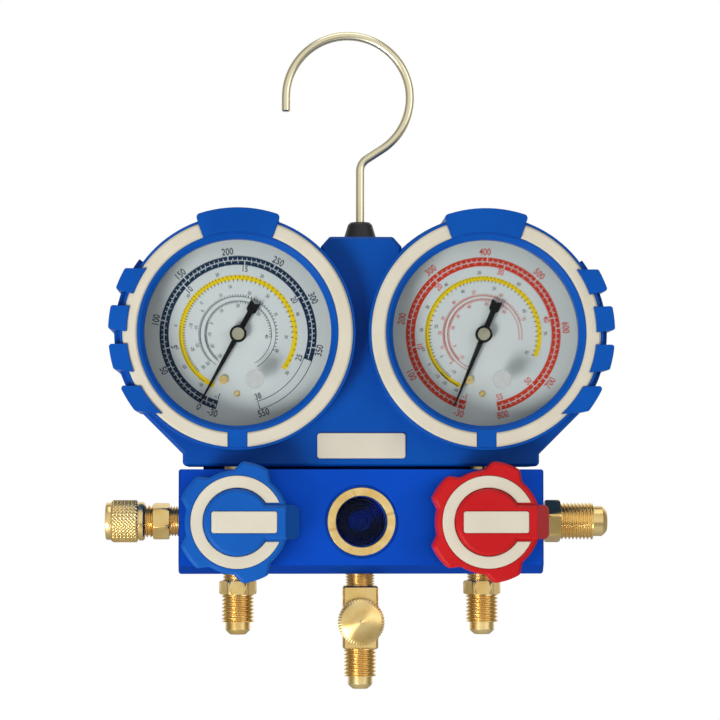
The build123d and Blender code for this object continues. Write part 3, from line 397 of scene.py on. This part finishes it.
for nodeName, look in nodeLooks.items():
    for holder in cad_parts[nodeName].material_slots:
        holder.material = look
print("materials made:", len(bpy.data.materials))


inkLook = {"coat": 0.8, "gloss": 0.08, "smooth": 0.45, "rough": 0.6}


def ink(name, code):
    # Screen-printed ink: flat, matt, with the slight unevenness of a thin coat.
    material, tree = newMaterial(name)
    coat = noise(tree, (inkLook["coat"],) * 3)
    shader = addNode(
        tree, "ShaderNodeBsdfPrincipled", {"Base Color": linear(code), "Specular IOR Level": inkLook["gloss"]},
        Roughness=ranged(tree, coat, inkLook["smooth"], inkLook["rough"]),
    )
    finish(tree, shader)
    return material


inks = {
    "navy": ink("printedNavyInk", "#14304E"), "red": ink("printedRedInk", "#E03A1A"),
    "yellow": ink("printedYellowInk", "#FFDA10"), "grey": ink("printedGreyInk", "#47565E"),
    "dark": ink("printedDarkInk", "#1E262C"), "white": ink("printedWhiteInk", "#E4E8E8"),
    "rose": ink("printedRoseInk", "#D0503E"),
}
# Height of each ink above the dial's face, so that printed pieces that cross don't flicker.
inkLift = {"navy": 0.02, "red": 0.02, "yellow": 0.02, "grey": 0.03, "dark": 0.03, "rose": 0.03, "white": 0.04}
dialFace = 9.0    # front of the dial, towards the user
arcStep = 2.0    # degrees per facet of a printed arc
sameValue = 1e-6    # closer than this, a division stands at a numbered mark
digitShare = 0.7    # height of a digit as a share of the face's size
digitWidth = 0.8    # narrowing of the built-in face
digitWeight = 0.02    # thickening of its strokes as a share of the height
uprightBelow = -0.15    # sine of the angle below which a number is turned the right way up
# Widths, lengths, heights and offsets of the printed lines, ticks and numbers, in millimetres.
printLook = {
    "bandLine": 0.13, "bandEnds": 1.0, "emptyLine": 0.25, "emptyEnd": 0.55, "shortBy": 0.7,
    "longTick": 0.34, "shortTick": 0.24, "outerHeight": 2.35, "innerHeight": 2.05,
    "yellowTick": 0.28, "yellowTickLow": 0.75, "yellowTickHigh": 0.1,
    "innerTick": 0.26, "innerTickLow": 0.55, "innerTickHigh": 0.45,
    "fineLine": 0.11, "fineTick": 0.3, "fineTickLong": 0.75, "smallSteps": 10, "smallHeight": 1.15,
    "yellowOut": 1.15, "yellowIn": 2.2, "fineOut": 1.6, "fineIn": 1.7,
}

# Radii in millimetres, arcs and numbered marks in degrees counterclockwise from the right.
lowDial = {
    "numberInk": "navy", "fineInk": "grey",
    "band": (23.75, 26.87), "bandArc": (253.6, -20.3), "emptyArc": (-20.3, -74.0),
    "outer": {
        -30: 252, 0: 241.7, 50: 206.3, 100: 170.5, 150: 134.2, 200: 97.5, 250: 61.3, 300: 25.9, 350: -11.4,
        550: -72,
    },
    "outerRadius": 28.35, "outerSteps": 10, "outerEven": -2,
    "inner": {-1: 252, 5: 191.3, 10: 138.1, 15: 84.4, 20: 31.6, 25: -21, 38: -72.3},
    "innerRadius": 22.4, "innerSteps": 10, "innerEven": -3,
    "yellow": (18.6, 20.3), "yellowArc": (245.0, -37.6),
    "yellowNumbers": {
        -30: 233.5, -20: 211.1, -10: 192, 0: 172.2, 10: 142.9, 20: 109.5, 30: 67.8, 40: 18.8, 50: -38.4,
    },
    "innerYellow": {-30: 223, -20: 198, -10: 170, 0: 139.8, 10: 100, 20: 52.6, 30: -3.2},
    "fine": (11.4, 12.9), "fineArc": (234.0, -60.0),
    "fineOuter": {-30: 223.7, -20: 194.7, -10: 172, 0: 147, 10: 114.4, 20: 74.8, 30: 28, 40: -23.4},
    "fineInner": {-30: 229.5, -20: 203.7, -10: 182, 0: 158, 10: 126, 20: 90.8, 30: 45, 40: -4.6},
}
highDial = {
    "numberInk": "red", "fineInk": "rose",
    "band": (23.5, 26.6), "bandArc": (255.9, -79.1), "emptyArc": None,
    "outer": {
        -30: 252.5, 100: 209.2, 200: 169.2, 300: 129.4, 400: 88.6, 500: 47.3, 600: 5, 700: -35.8, 800: -76.4,
    },
    "outerRadius": 28.35, "outerSteps": 10, "outerEven": -2,
    "inner": {-1: 253.6, 10: 190.4, 20: 133.2, 30: 74.4, 40: 13.6, 50: -46.1, 55: -75.5},
    "innerRadius": 22.2, "innerSteps": 10, "innerEven": -3,
    "yellow": (18.5, 20.1), "yellowArc": (246.0, -22.7),
    "yellowNumbers": {
        -30: 243.3, -20: 231.1, -10: 221.7, 0: 208.9, 10: 194, 20: 175.9, 30: 153.9, 40: 126.5, 50: 93.7, 60: 54.8,
        70: 1.3,
    },
    "innerYellow": {-10: 231.1, 0: 207.6, 20: 170.4, 40: 115.3, 50: 76.6, 60: 29.9, 70: -22.4},
    "fine": (12.3, 13.3), "fineArc": (245.0, -8.0),
    "fineOuter": {0: 221.3, 10: 196.8, 20: 178, 30: 158.2, 40: 132.5, 50: 102.7, 60: 65.6, 70: 21.4},
    "fineInner": {-10: 225.4, 0: 202, 20: 167.6, 30: 144.2, 40: 116.8, 50: 84, 60: 47.5},
}


def arcPatch(store, inner, outer, start, end):
    # Degrees; start lies counterclockwise of end, as on the dial's scale.
    steps = max(1, math.ceil(abs(start - end) / arcStep))
    base = len(store[0])
    for step in range(steps + 1):
        angle = start + (end - start) * step / steps
        store[0].extend((polar(inner, angle), polar(outer, angle)))
    for step in range(steps):
        k = base + 2 * step
        store[1].append((k, k + 1, k + 3, k + 2))


def tick(store, inner, outer, angle, width):
    # One short radial line.
    ax, ay = polar(1.0, angle)
    base = len(store[0])
    for radius, sign in ((inner, -1), (inner, 1), (outer, 1), (outer, -1)):
        store[0].append((ax * radius - ay * sign * width / 2, ay * radius + ax * sign * width / 2))
    store[1].append((base, base + 3, base + 2, base + 1))


def number(store, text, radius, angle, height, turn=None):
    # Built-in sans face, narrowed; digits above the middle stand outwards, those below stay upright.
    curve = bpy.data.curves.new("digits", "FONT")
    curve.body, curve.align_x, curve.align_y = str(text), "CENTER", "CENTER"
    curve.size, curve.resolution_u = height / digitShare, 3
    curve.offset = height * digitWeight
    helper = bpy.data.objects.new("digits", curve)
    bpy.context.scene.collection.objects.link(helper)
    mesh = helper.evaluated_get(bpy.context.evaluated_depsgraph_get()).to_mesh()
    if turn is None:
        turn = angle - 90 if math.sin(math.radians(angle)) > uprightBelow else angle + 90
    c, s = math.cos(math.radians(turn)), math.sin(math.radians(turn))
    x0, y0 = polar(radius, angle)
    base = len(store[0])
    for v in mesh.vertices:
        x, y = v.co.x * digitWidth, v.co.y
        store[0].append((x0 + x * c - y * s, y0 + x * s + y * c))
    store[1].extend(tuple(base + k for k in face.vertices) for face in mesh.polygons)
    bpy.data.objects.remove(helper)
    bpy.data.curves.remove(curve)


def between(scale, steps):
    # Angles of the divisions between the numbered marks of a scale.
    values = sorted(scale)
    for low, high in zip(values, values[1:]):
        for step in range(steps):
            yield scale[low] + (scale[high] - scale[low]) * step / steps
    yield scale[values[-1]]


def bandTicks(store, scale, steps, even, arc, edge, middle):
    # Divisions from the band's middle line to one edge, spaced as between the second mark and the even one.
    values = sorted(scale)
    first, second = values[1], values[2]
    slope = (scale[values[even]] - scale[first]) / (values[even] - first)
    step = (second - first) / steps
    k = math.ceil(values[0] / step)
    while k * step <= values[-1]:
        angle = scale[first] + (k * step - first) * slope
        if arc[1] < angle < arc[0]:
            tip, width = edge, printLook["longTick"]
            if abs(k * step % (second - first)) > sameValue:
                tip += math.copysign(printLook["shortBy"], middle - edge)
                width = printLook["shortTick"]
            tick(store, min(tip, middle), max(tip, middle), angle, width)
        k += 1


def printDial(gaugeName, side, look):
    # Flat printed pieces a few hundredths above the dial's face, one per ink.
    stores = {name: ([], []) for name in inks}
    main, fine, white = stores[look["numberInk"]], stores[look["fineInk"]], stores["white"]
    dark = stores["dark"]
    inner, outer = look["band"]
    start, end = look["bandArc"]
    middle = (inner + outer) / 2
    arcPatch(main, inner, outer, start, end)
    line, past = printLook["bandLine"], printLook["bandEnds"]
    arcPatch(white, middle - line, middle + line, start - past, end + past)
    marks = dict(look["outer"])
    if look["emptyArc"]:
        first, last = look["emptyArc"]
        line = printLook["emptyLine"]
        arcPatch(main, inner, inner + line, first, last)
        arcPatch(main, outer - line, outer, first, last)
        arcPatch(main, inner, outer, last + printLook["emptyEnd"], last)
        marks.pop(max(marks))    # the last number stands at the end of the empty part
    bandTicks(white, marks, look["outerSteps"], look["outerEven"], (start, end), outer, middle)
    bandTicks(white, look["inner"], look["innerSteps"], look["innerEven"], (start, end), inner, middle)
    for value, angle in look["outer"].items():
        number(main, value, look["outerRadius"], angle, printLook["outerHeight"])
    for value, angle in look["inner"].items():
        number(main, value, look["innerRadius"], angle, printLook["innerHeight"])
    small, steps = printLook["smallHeight"], printLook["smallSteps"]
    low, high = look["yellow"]
    arcPatch(stores["yellow"], low, high, *look["yellowArc"])
    for angle in between(look["yellowNumbers"], steps):
        if look["yellowArc"][1] < angle < look["yellowArc"][0]:
            tick(
                dark, high - printLook["yellowTickLow"], high - printLook["yellowTickHigh"], angle,
                printLook["yellowTick"],
            )
    for angle in between(look["innerYellow"], steps):
        tick(
            dark, low - printLook["innerTickLow"], low + printLook["innerTickHigh"], angle,
            printLook["innerTick"],
        )
    for value, angle in look["yellowNumbers"].items():
        number(dark, value, high + printLook["yellowOut"], angle, small)
    for value, angle in look["innerYellow"].items():
        number(stores["grey"], value, low - printLook["yellowIn"], angle, small)
    low, high = look["fine"]
    for radius in (low, high):
        arcPatch(fine, radius - printLook["fineLine"], radius + printLook["fineLine"], *look["fineArc"])
    for angle in between(look["fineOuter"], steps):
        tick(fine, high, high + printLook["fineTickLong"], angle, printLook["fineTick"])
    for angle in between(look["fineInner"], steps):
        tick(fine, low - printLook["fineTickLong"], low, angle, printLook["fineTick"])
    for value, angle in look["fineOuter"].items():
        number(fine, value, high + printLook["fineOut"], angle, small)
    for value, angle in look["fineInner"].items():
        number(fine, value, low - printLook["fineIn"], angle, small)
    for name, (points, faces) in stores.items():
        if faces:
            place = facing(side * halfSpacing, levels["gauge"], dialFace + inkLift[name])
            meshPiece(
                f"{gaugeName}DialPrint{name.capitalize()}", [(x, y, 0) for x, y in points], faces,
                place, "root", inks[name],
            )


for (gaugeName, side), look in zip(gaugeSides, (lowDial, highDial)):
    printDial(gaugeName, side, look)

# One of the screws that hold the dial shows on each, below the pointer's axis.
screwLook = {"radius": 1.05, "height": 0.45, "bevel": 0.25, "orbit": 20.3, "angle": 269.0, "segments": 32}
screwX, screwY = polar(screwLook["orbit"], screwLook["angle"])
for gaugeName, side in gaugeSides:
    top = dialFace + screwLook["height"]
    points, faces = ringSurface([
        (dialFace, roundAt(screwLook["radius"])), (top - screwLook["bevel"], roundAt(screwLook["radius"])),
        (top, roundAt(screwLook["radius"] - screwLook["bevel"])),
    ], screwLook["segments"])
    place = facing(side * halfSpacing + screwX, levels["gauge"] + screwY)
    meshPiece(f"{gaugeName}DialScrew", points, faces, place, "root", brassFacing, smoothAngle=35)
print("dials printed")


# Share of the thread's depth at even steps along one pitch: crest, flank, root, flank.
vProfile = (0.0, 0.0, 0.5, 1.0, 1.0, 0.5)
flareThread = {"radius": 5.555, "pitch": 1.27, "depth": 0.78, "profile": vProfile, "runout": 0.35}
largeThread = {"radius": 6.35, "pitch": 1.27, "depth": 0.78, "profile": vProfile, "runout": 0.35}
taperThread = {"radius": 5.15, "pitch": 0.94, "depth": 0.58, "profile": vProfile, "runout": 0.2}
segments = 96
coreRadius = 3.0    # how far in a fitting's hidden inner end is closed
hexBevel = 0.45
# Flare nose, from its tip back and from its outside in: the cone's shoulder, cone, tip, flat rim and bore.
noseLook = {
    "shoulder": 1.7, "cone": 0.8, "coneIn": 0.75, "tip": 0.15, "tipIn": 1.5, "rimIn": 1.75,
    "boreBevel": 0.1, "boreDepth": 6.0,
}


def flareFitting(look):
    # Neck thread, hexagon with turned-down corners, flare thread and nose with its bore.
    neck, hexEnd = look["neck"], look["neck"] + look["hexHeight"]
    threadEnd = hexEnd + look["length"]
    noseEnd = threadEnd + look["noseLength"]
    corner = look["flats"] / math.sqrt(3)
    bevel, tip = hexBevel, noseLook
    stations = [(0.0, roundAt(coreRadius))]
    stations += threadStations({**taperThread, "start": 0.0, "end": neck})
    stations += [
        (neck, hexAt(look["flats"], look["turn"], corner - bevel)),
        (neck + bevel, hexAt(look["flats"], look["turn"], corner)),
        (hexEnd - bevel, hexAt(look["flats"], look["turn"], corner)),
        (hexEnd, hexAt(look["flats"], look["turn"], corner - bevel)),
    ]
    stations += threadStations({**look["thread"], "start": hexEnd, "end": threadEnd})
    nose, bore = look["nose"] / 2, look["bore"] / 2
    stations += [
        (threadEnd, roundAt(nose)), (noseEnd - tip["shoulder"], roundAt(nose)),
        (noseEnd - tip["cone"], roundAt(nose - tip["coneIn"])),
        (noseEnd - tip["tip"], roundAt(nose - tip["tipIn"])), (noseEnd, roundAt(nose - tip["rimIn"])),
        (noseEnd, roundAt(bore + tip["boreBevel"])),
        (noseEnd - tip["boreBevel"], roundAt(bore)), (noseEnd - tip["boreDepth"], roundAt(bore)),
    ]
    return ringSurface(stations, segments)


quarterPort = {
    "neck": 2.7, "hexHeight": 4.6, "flats": 11.1, "turn": 0.0, "length": 9.4, "noseLength": 4.35,
    "nose": 8.6, "bore": 4.8, "thread": flareThread,
}
cappedPort = {**quarterPort, "neck": 3.5, "hexHeight": 5.6, "turn": 12.0}
largePort = {
    "neck": 1.7, "hexHeight": 5.3, "flats": 13.0, "turn": 12.0, "length": 11.2, "noseLength": 5.0,
    "nose": 10.4, "bore": 5.2, "thread": largeThread,
}
for name, side in gaugeSides:
    points, faces = flareFitting(quarterPort)
    port = meshPiece(
        f"{name}HosePortTurned", points, faces, hanging(side * halfSpacing, levels["blockBottom"]),
        "root", brassUpright, smoothAngle=35,
    )
    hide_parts(f"{name}_hose_port")
for (name, side), look in zip(reversed(gaugeSides), (largePort, cappedPort)):
    points, faces = flareFitting(look)
    port = meshPiece(
        f"{name}SidePortTurned", points, faces, sideways(side * halfLength, levels["block"], side),
        "root", brassAcross, smoothAngle=35,
    )
    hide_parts(f"{name}_side_port")

# Knurled cap: two crossing helical grooves in the crown.
capLook = {
    "start": 11.9, "floor": 23.85, "bore": 5.7, "collar": 6.65, "collarLength": 2.0,
    "groove": 6.2, "grooveLength": 0.4, "crown": 7.35, "crownLength": 9.1, "ring": 6.4, "ringLength": 2.0,
    "teeth": 36, "knurl": 0.378, "pitch": 1.25, "bevel": 0.6, "endBevel": 0.3, "centre": 0.1, "endFlat": 2.0,
    "segments": 288, "rows": 44,
}


def knurlAt(height, look):
    # Diamonds between two grooves that wind opposite ways.
    def radiusAt(angle):
        along = height / look["pitch"]
        around = angle * look["teeth"] / (2 * math.pi)
        first = abs((along + around) % 1.0 - 0.5) * 2
        second = abs((along - around) % 1.0 - 0.5) * 2
        return look["crown"] - look["knurl"] * (1 - min(first, second))
    return radiusAt


def knurledCap(look):
    groove = look["start"] + look["collarLength"]
    crown = groove + look["grooveLength"]
    ring = crown + look["crownLength"]
    end = ring + look["ringLength"]
    bevel = look["bevel"]
    small = bevel * look["endBevel"]
    stations = [
        (look["floor"], roundAt(look["centre"])), (look["floor"], roundAt(look["bore"])),
        (look["start"], roundAt(look["bore"])), (look["start"], roundAt(look["collar"] - bevel)),
        (look["start"] + bevel, roundAt(look["collar"])), (groove, roundAt(look["collar"])),
        (groove, roundAt(look["groove"])), (crown, roundAt(look["groove"])),
        (crown, roundAt(look["crown"] - bevel)),
    ]
    for k in range(look["rows"] + 1):
        height = crown + bevel + (look["crownLength"] - 2 * bevel) * k / look["rows"]
        stations.append((height, knurlAt(height, look)))
    stations += [
        (ring, roundAt(look["crown"] - bevel)), (ring, roundAt(look["ring"])),
        (end - bevel, roundAt(look["ring"])), (end - small, roundAt(look["ring"] - small)),
        (end, roundAt(look["ring"] - bevel)), (end, roundAt(look["endFlat"])),
    ]
    return ringSurface(stations, look["segments"])


points, faces = knurledCap(capLook)
cap = meshPiece(
    "portCapKnurled", points, faces, sideways(-halfLength, levels["block"], -1),
    "cap", brassAcross, smoothAngle=40,
)
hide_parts("port_cap")

# Service valve: square body between two threads, and a thumb knob with a serrated rim.
serviceLook = {
    "neck": 4.4, "neckRadius": 5.0, "width": 12.1, "height": 21.5, "length": 9.4, "noseLength": 4.35,
    "nose": 8.6, "bore": 4.8, "bevel": 0.5,
}


def squareAt(width, cone):
    # Across flats, with the corners turned down to the cone's radius.
    def radiusAt(angle):
        offset = (angle + math.pi / 4) % (math.pi / 2) - math.pi / 4
        return min(width / 2 / math.cos(offset), cone)
    return radiusAt


def serviceBody(look):
    bottom = look["neck"] + look["height"]
    threadEnd = bottom + look["length"]
    noseEnd = threadEnd + look["noseLength"]
    nose, bore, bevel, tip = look["nose"] / 2, look["bore"] / 2, look["bevel"], noseLook
    corner = look["width"] / math.sqrt(2) - bevel
    stations = [(0.0, roundAt(coreRadius))]
    stations += threadStations({**taperThread, "radius": look["neckRadius"], "start": 0.0, "end": look["neck"]})
    stations += [
        (look["neck"], squareAt(look["width"] - 2 * bevel, corner - bevel)),
        (look["neck"] + bevel, squareAt(look["width"], corner)),
        (bottom - bevel, squareAt(look["width"], corner)),
        (bottom, squareAt(look["width"] - 2 * bevel, corner - bevel)),
    ]
    stations += threadStations({**flareThread, "start": bottom, "end": threadEnd})
    stations += [
        (threadEnd, roundAt(nose)), (noseEnd - tip["shoulder"], roundAt(nose)),
        (noseEnd - tip["cone"], roundAt(nose - tip["coneIn"])), (noseEnd, roundAt(nose - tip["rimIn"])),
        (noseEnd, roundAt(bore)), (noseEnd - tip["boreDepth"], roundAt(bore)),
    ]
    return ringSurface(stations, segments)


points, faces = serviceBody(serviceLook)
body = meshPiece(
    "serviceValveForged", points, faces, hanging(0.0, levels["blockBottom"]),
    "root", brassUpright, smoothAngle=35,
)
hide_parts("service_valve_body")

thumbLook = {
    "drop": 16.4, "bossBack": 3.0, "boss": 2.4, "back": 9.25, "front": 13.85, "rim": 8.0, "face": 6.8,
    "bevel": 0.8, "edge": 0.12, "faceIn": 0.1, "dimple": 0.6, "dimpleDepth": 0.35, "point": 0.1,
    "teeth": 48, "tooth": 0.35, "segments": 288,
}


def rimAt(look, radius):
    # V-shaped serrations along the axis.
    def radiusAt(angle):
        wave = abs((angle * look["teeth"] / (2 * math.pi)) % 1.0 - 0.5) * 2
        return radius - look["tooth"] * wave
    return radiusAt


def thumbKnob(look):
    back, front, face, edge = look["back"], look["front"], look["face"], look["edge"]
    rim = rimAt(look, look["rim"])
    stations = [
        (look["bossBack"], roundAt(look["boss"])), (back, roundAt(look["boss"])), (back, roundAt(face)),
        (back + look["bevel"], rim), (front - look["bevel"], rim),
        (front - edge, roundAt(face + edge)), (front, roundAt(face - look["faceIn"])),
        (front, roundAt(look["dimple"])), (front - look["dimpleDepth"], roundAt(look["point"])),
    ]
    return ringSurface(stations, look["segments"])


points, faces = thumbKnob(thumbLook)
knob = meshPiece(
    "serviceThumbKnob", points, faces, facing(0.0, levels["blockBottom"] - thumbLook["drop"]), "service_knob",
    brassSpun, smoothAngle=30,
)
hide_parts("service_valve_knob")

# Bore behind the sight glass: turned wall and floor, with the small drilling in the middle.
boreLook = {
    "top": 7.0, "floor": 2.3, "radius": 8.3, "groove": 0.8, "grooveDepth": 0.3, "well": 3.0, "wellFloor": -4.0,
    "centre": 0.1, "segments": 96,
}


def sightBore(look):
    stations = [(look["top"], roundAt(look["radius"])), (look["floor"], roundAt(look["radius"]))]
    radius = look["radius"] - look["groove"]
    while radius > look["well"] + look["groove"]:
        stations.append((look["floor"] + look["grooveDepth"], roundAt(radius)))
        stations.append((look["floor"], roundAt(radius - look["groove"] / 2)))
        radius -= look["groove"]
    stations += [
        (look["floor"], roundAt(look["well"])), (look["wellFloor"], roundAt(look["well"])),
        (look["wellFloor"], roundAt(look["centre"])),
    ]
    return ringSurface(stations, look["segments"], closed=False)


points, faces = sightBore(boreLook)
# Its material carries painted shade: the bore is coloured far darker than the block's own blue.
meshPiece(
    "sightBoreTurned", points, faces, facing(0.0, levels["block"]),
    "root", boreAnodisedPaintedShade, smoothAngle=20,
)
print("fittings made")


def stageFloor(look):
    # Painted floor well below the hanging object; faint, broad unevenness.
    material, tree = newMaterial("paintedStudioFloor")
    cloud = noise(tree, (look["cloud"],) * 3)
    shader = addNode(
        tree, "ShaderNodeBsdfPrincipled", {"IOR": look["ior"], "Specular IOR Level": look["gloss"]},
        Base_Color=tinted(tree, cloud, look["dark"], look["light"]),
        Roughness=ranged(tree, cloud, look["smooth"], look["rough"]),
    )
    finish(tree, shader)
    size = look["size"] / 2
    mesh = bpy.data.meshes.new("floor")
    mesh.from_pydata([(-size, -size, 0), (size, -size, 0), (size, size, 0), (-size, size, 0)], [], [(0, 1, 2, 3)])
    floor = bpy.data.objects.new("floor", mesh)
    floor.location.z = look["level"] * mm
    mesh.materials.append(material)
    bpy.context.scene.collection.objects.link(floor)


stageFloor({
    "level": -900.0, "size": 8.0, "cloud": 300.0, "dark": "#F2F2F2", "light": "#F6F6F6",
    "ior": 1.45, "gloss": 0.2, "smooth": 0.7, "rough": 0.8,
})

# The key stands low on the left, so that shadows fall up and to the right; the others only lift them.
lamps = (
    {"name": "key", "at": (-0.58, -0.79, -0.64), "size": 0.4, "power": 8.4},
    {"name": "fill", "at": (0.9, -0.8, 0.2), "size": 0.9, "power": 2.6},
    {"name": "top", "at": (0.0, -0.15, 0.8), "size": 0.7, "power": 2.0},
)
target = Vector((0, 0, -0.12))    # middle of the object
for look in lamps:
    data = bpy.data.lights.new(look["name"], "AREA")
    data.size, data.energy = look["size"], look["power"]
    lamp = bpy.data.objects.new(look["name"], data)
    lamp.location = look["at"]
    lamp.rotation_euler = (target - Vector(look["at"])).to_track_quat("-Z", "Y").to_euler()
    bpy.context.scene.collection.objects.link(lamp)


def studioWorld(look):
    # White to the camera; gloss and glass see the white backdrop behind, a bright front and dim sides.
    world = bpy.data.worlds.new("studio")
    bpy.context.scene.world = world
    world.use_nodes = True
    tree = world.node_tree
    tree.nodes.clear()
    rays = addNode(tree, "ShaderNodeLightPath")
    glossy, passing = rays.outputs["Is Glossy Ray"], rays.outputs["Is Transmission Ray"]
    seen = addNode(tree, "ShaderNodeMath", {"operation": "MAXIMUM"}, i0=glossy, i1=passing)
    place = addNode(tree, "ShaderNodeTexCoord")
    split = addNode(tree, "ShaderNodeSeparateXYZ", None, Vector=place.outputs["Generated"])
    depth = addNode(tree, "ShaderNodeMapRange", {"From Min": -1.0, "From Max": 1.0}, Value=split.outputs["Y"])
    ramp = addNode(tree, "ShaderNodeValToRGB", None, Fac=depth.outputs[0])
    for spot, (position, level) in enumerate(look["around"]):
        stop = ramp.color_ramp.elements[spot] if spot < 2 else ramp.color_ramp.elements.new(position)
        stop.position, stop.color = position, (level, level, level, 1)
    mirrored = addNode(tree, "ShaderNodeMath", {"operation": "MULTIPLY"}, i0=seen.outputs[0], i1=ramp.outputs[0])
    shown = addNode(
        tree, "ShaderNodeMath", {"operation": "MAXIMUM"},
        i0=rays.outputs["Is Camera Ray"], i1=mirrored.outputs[0],
    )
    dark = addNode(tree, "ShaderNodeMath", {"operation": "SUBTRACT"}, i1=seen.outputs[0])
    dark.inputs[0].default_value = 1.0
    room = addNode(tree, "ShaderNodeMath", {"operation": "MULTIPLY"}, i0=dark.outputs[0])
    room.inputs[1].default_value = look["room"]
    level = addNode(tree, "ShaderNodeMath", {"operation": "MAXIMUM"}, i0=shown.outputs[0], i1=room.outputs[0])
    backdrop = addNode(tree, "ShaderNodeBackground", {"Color": (1, 1, 1, 1)}, Strength=level.outputs[0])
    addNode(tree, "ShaderNodeOutputWorld", None, Surface=backdrop.outputs[0])


# Around: from the camera's side, 0, to straight behind the object, 1, and how bright it is there.
studioWorld({
    "room": 0.34, "around": ((0.0, 0.9), (1.0, 1.0), (0.2, 0.7), (0.36, 0.3), (0.7, 0.32), (0.86, 1.0)),
})
print("floor and lamps set")

# Metres; width is how much the frame takes in at the object, centre the height in its middle.
cameraLook = {
    "distance": 0.95, "level": -0.155, "across": -0.033, "width": 0.2484, "centre": -0.1107, "sensor": 36.0,
}
cameraData = bpy.data.cameras.new("camera")
cameraData.sensor_width = cameraLook["sensor"]
cameraData.lens = cameraLook["sensor"] * cameraLook["distance"] / cameraLook["width"]
camera = bpy.data.objects.new("camera", cameraData)
camera.location = (cameraLook["across"], -cameraLook["distance"], cameraLook["level"])
rise = math.atan((cameraLook["centre"] - cameraLook["level"]) / cameraLook["distance"])
camera.rotation_euler = (math.pi / 2 + rise, 0, math.atan(cameraLook["across"] / cameraLook["distance"]))
bpy.context.scene.collection.objects.link(camera)
bpy.context.scene.camera = camera
bpy.context.scene.view_settings.view_transform = "Standard"
